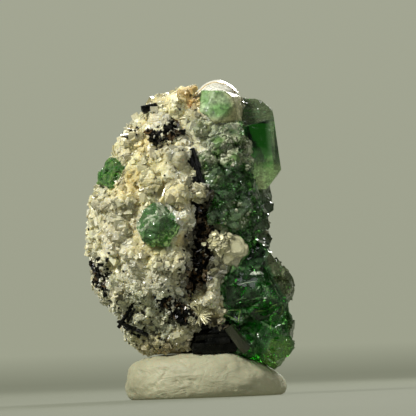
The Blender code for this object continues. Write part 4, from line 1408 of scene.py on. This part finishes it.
def close_sheet(bm, low, high):
    """The faces of a thin sheet whose two sides are grids of vertices."""
    rows, last = len(low) - 1, len(low[0]) - 1
    for i in range(rows):
        for j in range(last):
            bm.faces.new((low[i][j], low[i + 1][j], low[i + 1][j + 1], low[i][j + 1]))
            bm.faces.new((high[i][j], high[i][j + 1], high[i + 1][j + 1], high[i + 1][j]))
        bm.faces.new((low[i][0], high[i][0], high[i + 1][0], low[i + 1][0]))
        bm.faces.new((low[i][last], low[i + 1][last], high[i + 1][last], high[i][last]))
    for j in range(last):
        bm.faces.new((low[0][j], low[0][j + 1], high[0][j + 1], high[0][j]))
        bm.faces.new((low[rows][j], high[rows][j], high[rows][j + 1], low[rows][j + 1]))


def build_cap(bm, layer):
    """Thin sheets bent over an arch, one over the other, with ragged ends and front edges."""
    arch = rounded([Vector(p) for p in CAP_ARCH], 3)
    for sheet in range(CAP_SHEETS):
        start, end = rng.uniform(0.0, 0.1), rng.uniform(0.9, 1.0)
        lift = (sheet - (CAP_SHEETS - 1) / 2) * CAP_SPACING
        reach = 1.0 - 0.06 * max(0, sheet - 2) + rng.uniform(-0.04, 0.02)
        seed = rng.uniform(0, 50)
        bright = rng.uniform(0.98, 1.08) * (0.82 if sheet % 2 else 1.0)
        tint = (CAP_BUFF if sheet == 2 else CAP_WHITE) * bright
        sides = []
        for thick in (0, CAP_THICKNESS):
            rows = []
            for i in range(CAP_STEPS + 1):
                share = start + (end - start) * i / CAP_STEPS
                row = [bm.verts.new(at) for at in cap_row(arch, share, i, reach, lift, thick, sheet, seed)]
                for j, vertex in enumerate(row):
                    brown = i in (0, CAP_STEPS) or (j == 0 and sheet == CAP_SHEETS - 1)
                    vertex[layer] = (*(tint * CAP_BROWN_EDGE if brown else tint), 1.0)
                rows.append(row)
            sides.append(rows)
        close_sheet(bm, *sides)


white_mat = mica_material("white mica sheets", (0.97, 0.95, 0.88))
built_piece("mica_book_sheets", build_book, pearl_mat, "silvery_mica", "mica_book")
built_piece("mica_bunch_sheets", build_bunch, pearl_mat, "silvery_mica", "mica_bunch")
built_piece("mica_fan_blades", build_fan, pearl_mat, "silvery_mica", "mica_fan")
built_piece("mica_cap_sheets", build_cap, white_mat, "silvery_mica", "mica_cap")

# Tourmaline

# Each prism: start, end, radius in millimetres.
PRISMS = {
    "tourmaline_blade": [
        ((1.0, -17.0, 52.0), (-1.0, -16.9, 61.2), 0.95),
        ((-0.2, -17.3, 53.0), (-1.2, -17.0, 59.0), 1.05),
        ((-1.6, -16.9, 53.4), (-1.7, -16.9, 57.6), 0.85),
        ((1.6, -16.8, 52.0), (-0.2, -17.1, 57.2), 0.85),
        ((0.8, -17.5, 53.6), (-0.6, -17.4, 58.0), 0.7),
    ],
    "tourmaline_prism_top": [((-12.9, -11.8, 71.6), (-9.1, -11.0, 72.4), 1.1)],
    "tourmaline_pair": [
        ((-20.8, -7.4, 19.6), (-13.6, -12.6, 16.0), 0.5),
        ((-20.8, -7.2, 18.2), (-16.8, -12.0, 24.0), 0.5),
        ((-19.2, -9.0, 18.0), (-14.6, -12.4, 16.9), 0.36),
        ((-18.6, -10.2, 19.4), (-16.6, -12.4, 22.6), 0.36),
    ],
    "tourmaline_group_upper": [
        ((-10.2, -15.8, 63.6), (-6.4, -15.4, 65.6), 1.0),
        ((-8.6, -16.0, 65.0), (-5.0, -14.8, 68.0), 1.0),
        ((-6.6, -15.6, 64.2), (-3.6, -15.6, 65.8), 0.9),
        ((-11.6, -14.6, 65.8), (-8.0, -15.6, 64.4), 0.7),
    ],
    "tourmaline_seam": [
        ((-0.2, -15.4, 50.0), (0.6, -14.8, 44.0), 1.0),
        ((-0.6, -14.6, 45.8), (2.6, -14.4, 41.0), 1.1),
        ((2.0, -14.6, 43.0), (0.2, -14.2, 37.0), 1.2),
        ((1.9, -14.3, 39.0), (-1.0, -14.1, 33.0), 1.3),
        ((1.5, -13.7, 34.6), (-1.4, -14.0, 29.4), 1.4),
        ((-0.4, -13.9, 32.0), (-3.2, -13.8, 26.6), 1.2),
    ],
    "tourmaline_base": [
        ((-2.6, -12.0, 12.4), (8.2, -11.4, 12.6), 1.5),
        ((-1.8, -12.2, 14.8), (7.6, -11.6, 15.4), 1.5),
        ((-1.2, -11.2, 17.2), (8.4, -10.2, 17.8), 1.3),
        ((-2.2, -9.6, 12.8), (9.4, -8.8, 13.6), 2.0),
        ((-1.6, -9.4, 16.0), (9.2, -8.6, 16.8), 2.0),
        ((0.6, -12.8, 13.6), (6.4, -12.4, 14.0), 1.2),
        ((2.0, -12.4, 16.4), (8.6, -11.4, 16.9), 1.1),
        ((-2.4, -6.4, 13.8), (9.0, -5.6, 15.0), 2.4),
    ],
    "tourmaline_group_left": [
        ((-26.4, -4.4, 34.4), (-24.0, -8.6, 31.0), 1.1),
        ((-25.6, -7.0, 33.2), (-25.0, -4.6, 28.8), 1.2),
        ((-24.4, -8.4, 31.8), (-22.6, -9.8, 28.4), 1.1),
        ((-25.8, -3.6, 30.8), (-22.6, -7.6, 27.0), 1.2),
    ],
    "tourmaline_group_lower": [
        ((-10.6, -15.6, 24.6), (-6.6, -16.2, 23.2), 0.9),
        ((-8.0, -16.0, 24.2), (-5.2, -15.8, 20.8), 1.1),
        ((-6.4, -15.8, 22.8), (-2.6, -15.0, 20.8), 1.0),
        ((-7.6, -15.4, 21.6), (-4.2, -14.8, 18.6), 1.0),
    ],
}
# How many small prisms are strewn round each large one, and how far they turn from it.
STREWN = {
    "tourmaline_blade": (5, 0.2),
    "tourmaline_prism_top": (1, 0.2),
    "tourmaline_pair": (3, 0.5),
    "tourmaline_base": (5, 0.4),
    "tourmaline_seam": (26, 1.0),
}
# The share of its CAD radius that each large prism keeps where the mass is broken up into small ones.
THINNED = {"tourmaline_seam": 0.62, "tourmaline_group_upper": 0.7, "tourmaline_group_left": 0.7}
PALE_SHARE = {"tourmaline_seam": 0.07, "tourmaline_pair": 0.0}
pale_crumbs, brown_flakes, black_crumbs = [], [], []
# Crystals whose prisms stand clear, with no crumbs between them.
CLEAN_PRISMS = ("tourmaline_blade", "tourmaline_prism_top", "tourmaline_base", "tourmaline_pair")
CRUMBS_PER_PRISM = 60
prism_rng = random.Random(3)

for name, prisms in PRISMS.items():
    bm = bmesh.new()
    amount, lean = STREWN.get(name, (16, 0.9))
    for start, end, radius in prisms:
        first, last = place_at(*start), place_at(*end)
        striated_prism(bm, first, last, radius * THINNED.get(name, 0.9), prism_rng)
        along = (last - first).normalized()
        for _ in range(amount):
            at = first.lerp(last, prism_rng.random())
            at += jitter(prism_rng, 1).normalized() * radius * prism_rng.uniform(0.4, 1.1) * MM
            way = (along + jitter(prism_rng, lean)).normalized()
            half = prism_rng.uniform(0.4, 1.1) * MM
            thin = prism_rng.uniform(0.16, 0.42)
            striated_prism(bm, at - way * half, at + way * half, thin, prism_rng, sides=9)
        if name in CLEAN_PRISMS:
            continue
        for _ in range(CRUMBS_PER_PRISM):
            at = first.lerp(last, prism_rng.uniform(-0.1, 1.1))
            out = jitter(prism_rng, 1).normalized()
            at += out * radius * prism_rng.uniform(0.6, 1.35) * MM
            size = prism_rng.uniform(0.25, 0.7) * MM
            kind = prism_rng.random()
            if kind < PALE_SHARE.get(name, 0.3):
                tint = srgb(206, 202, 174) * prism_rng.uniform(0.3, 1.1)
                shape, turn = prism_rng.randrange(len(chunks)), turned_to(out, prism_rng, 1)
                pale_crumbs.append((shape, at, turn, size, tint))
            elif kind < 0.5:
                tint = srgb(96, 74, 44) * prism_rng.uniform(0.2, 1.0)
                shape, turn = prism_rng.randrange(len(plates)), turned_to(out, prism_rng, 0.6)
                brown_flakes.append((shape, at, turn, size * 1.7, tint))
            else:
                shape, turn = prism_rng.randrange(len(chunks)), turned_to(out, prism_rng, 1)
                black_crumbs.append((shape, at, turn, size * 1.2, BLACK))
    bmesh.ops.recalc_face_normals(bm, faces=bm.faces[:])
    add_piece(object_from(name + "_prisms", bm, black_mat), "black_tourmaline", name)

smoky = grain_material("smoky blade", rough=(0.1, 0.25), soft=0.0, clear=0.3)
leaning = Matrix.Rotation(math.radians(-36), 3, "Y") @ Matrix.Rotation(math.radians(-30), 3, "Z")
blade = [(0, place_at(8.5, -13.9, 14.2), leaning, 4.0 * MM, srgb(48, 52, 36))]
slabs = [convex_chunk(rng, 6, (0.42, 0.22, 1.25))]
strew("smoky_blade", slabs, blade, smoky, "feldspar_rock")
strew("pale_crumbs", chunks, pale_crumbs, feldspar_mat, "feldspar_rock")
strew("brown_mica_flakes", plates, brown_flakes, flake_mat, "silvery_mica")
strew("tourmaline_crumbs", chunks, black_crumbs, black_mat, "black_tourmaline")

# Grains that close the rims between the rock and what grows in it

RIM_TRIES_PER_MM2 = 3.2
rock_tree = tree_of(["matrix_rock"])
rims, dark_rims, rim_flakes = [], [], []
for name in CRYSTAL_NAMES:
    bm = cad_mesh(name)
    area = sum(face.calc_area() for face in bm.faces) / MM**2
    for point, _ in surface_points(bm, int(area * RIM_TRIES_PER_MM2), rng):
        gap = clearance(rock_tree, point, 2.0)
        if not 0.4 < gap < 1.5 or clearance(putty_tree, point, 1.2) < 1.0:
            continue
        on_rock, rock_normal = rock_tree.find_nearest(point)[:2]
        size = rng.uniform(0.35, 0.95)
        at = point.lerp(on_rock, 0.75)
        p = local_mm(at)
        if (p.x > 11 and rng.random() < 0.6) or ("cluster" in name and rng.random() < 0.7):
            continue
        tone = zone_colour(p) * rng.uniform(0.6, 1.1)
        turn = turned_to(rock_normal, rng, 0.9)
        kind = rng.random()
        if name == "mica_cap" or (name == "fluorite_pale_top" and p.z > 74):
            continue
        if kind < max(0.06, black_share(p)):
            dark_rims.append((rng.randrange(len(rods)), at, turn, size * MM, BLACK))
        elif kind > 0.8:
            rim_flakes.append((rng.randrange(len(plates)), at, turn, size * 1.1 * MM, tone))
        else:
            rims.append((rng.randrange(len(chunks)), at, turn, size * MM, tone))
    bm.free()
strew("rim_grains", chunks, rims, feldspar_mat, "feldspar_rock")
strew("rim_tourmaline", rods, dark_rims, black_mat, "black_tourmaline")
strew("rim_flakes", plates, rim_flakes, flake_mat, "silvery_mica")

# Putty

PUTTY_VOXEL_MM = 0.45
# Below this height the putty stays flat, as it stands on the floor.
FLAT_FOOT_MM = 0.4

bm = remeshed(nodes["putty_base"], PUTTY_VOXEL_MM, 3)
for vertex in bm.verts:
    p = local_mm(vertex.co)
    if p.z > FLAT_FOOT_MM:
        press = 0.45 * noise.noise(Vector((p.x * 0.16, p.y * 0.16, p.z * 0.3)))
        skew = Vector((p.x * 0.32 - p.z * 0.5, p.y * 0.2, p.z * 0.85 + p.x * 0.22))
        fold = abs(noise.noise(skew * 0.55))
        press -= 0.4 * max(0.0, 1 - fold / 0.07) * (noise.noise(p / 9.0) > -0.05)
        press += 0.1 * noise.noise(p / 1.2)
        vertex.co += vertex.normal * press * min(1.0, p.z / 2.0) * MM
add_piece(object_from("putty_pat", bm, putty_material(), smooth=True), "putty", "putty_base")

# Floor, backdrop, lights and camera


# The backdrop in metres: half its width, its front edge, where it starts to curve up, the radius, its top.
HALF_WIDTH, FRONT_EDGE, CURVE_START, CURVE_RADIUS, TOP = 2.0, -1.4, 1.2, 0.35, 2.4
CURVE_STEPS = 12


def backdrop():
    """A floor that curves up into a wall behind the object."""
    bm = bmesh.new()
    profile = [(FRONT_EDGE, 0.0), (CURVE_START, 0.0)]
    for step in range(1, CURVE_STEPS + 1):
        angle = math.pi / 2 * step / CURVE_STEPS
        y = CURVE_START + CURVE_RADIUS * math.sin(angle)
        profile.append((y, CURVE_RADIUS * (1 - math.cos(angle))))
    profile.append((CURVE_START + CURVE_RADIUS, TOP))
    rows = [[bm.verts.new((x, y, z)) for x in (-HALF_WIDTH, HALF_WIDTH)] for y, z in profile]
    for low, high in zip(rows, rows[1:]):
        bm.faces.new((low[0], low[1], high[1], high[0]))
    n = Nodes("pale paper")
    greys = [(0.3, (0.052, 0.054, 0.044)), (0.7, (0.056, 0.058, 0.047))]
    n.feed(n.ramp(n.noise(0.004, 3), greys), "Base Color")
    height = n.add("ShaderNodeSeparateXYZ")
    n.link(n.add("ShaderNodeTexCoord").outputs["Object"], height.inputs["Vector"])
    rise = n.levels(height.outputs["Z"], 0.0, 0.3, 0.0, 1.0)
    # The flat floor glows darker than the curve and the wall above it: painted shade on the floor.
    painted_floor_shade = [(0.0, srgb(124, 127, 109)), (0.06, srgb(156, 159, 139)), (1.0, srgb(163, 166, 147))]
    n.feed(n.ramp(rise, painted_floor_shade), "Emission Color")
    n.set(Roughness=0.9, Emission_Strength=0.97, Specular_IOR_Level=0.1)
    object_from("backdrop", bm, n.material, smooth=True)


def area_light(name, place_mm, aim_mm, size_mm, watts, colour):
    data = bpy.data.lights.new(name, "AREA")
    data.shape = "DISK"
    data.size = size_mm * MM
    data.energy = watts
    data.color = colour
    made = bpy.data.objects.new(name, data)
    bpy.context.scene.collection.objects.link(made)
    at, aim = place_at(*place_mm), place_at(*aim_mm)
    made.location = at
    made.rotation_euler = (aim - at).to_track_quat("-Z", "Y").to_euler()


backdrop()
area_light("key", (-420, -360, 500), (0, 0, 40), 170, 7.0, (1.0, 0.99, 0.95))
area_light("fill", (420, -500, 260), (0, 0, 40), 420, 1.0, (0.97, 0.99, 1.0))
area_light("glow", (150, 340, 330), (6, 0, 45), 200, 2.6, (1.0, 1.0, 0.97))

scene = bpy.context.scene
world = bpy.data.worlds.new("studio")
world.use_nodes = True
sky = world.node_tree.nodes["Background"]
sky.inputs["Color"].default_value = (0.93, 0.95, 0.88, 1.0)
sky.inputs["Strength"].default_value = 0.1
scene.world = world

# The photo is this wide at the object, taken from this far away and a little above the table.
PHOTO_WIDTH_MM, CAMERA_AWAY_MM, CAMERA_HEIGHT_MM = 104, 900, 8
AIM_X_MM, AIM_Z_MM, ROLL_DEGREES = 2.44, 47.27, -2.2
SENSOR_MM = 36

camera_data = bpy.data.cameras.new("camera")
camera_data.sensor_width = SENSOR_MM
camera_data.lens = SENSOR_MM * CAMERA_AWAY_MM / PHOTO_WIDTH_MM
camera_data.clip_start = 0.05
camera_data.clip_end = 10
camera = bpy.data.objects.new("camera", camera_data)
scene.collection.objects.link(camera)
camera.location = place_at(AIM_X_MM, -CAMERA_AWAY_MM, CAMERA_HEIGHT_MM)
look = (place_at(AIM_X_MM, 0, AIM_Z_MM) - camera.location).to_track_quat("-Z", "Y").to_matrix()
camera.rotation_euler = (look @ Matrix.Rotation(math.radians(ROLL_DEGREES), 3, "Z")).to_euler()
scene.camera = camera

scene.view_settings.view_transform = "Standard"
scene.cycles.use_denoising = True
scene.cycles.max_bounces = 16
scene.cycles.transmission_bounces = 12
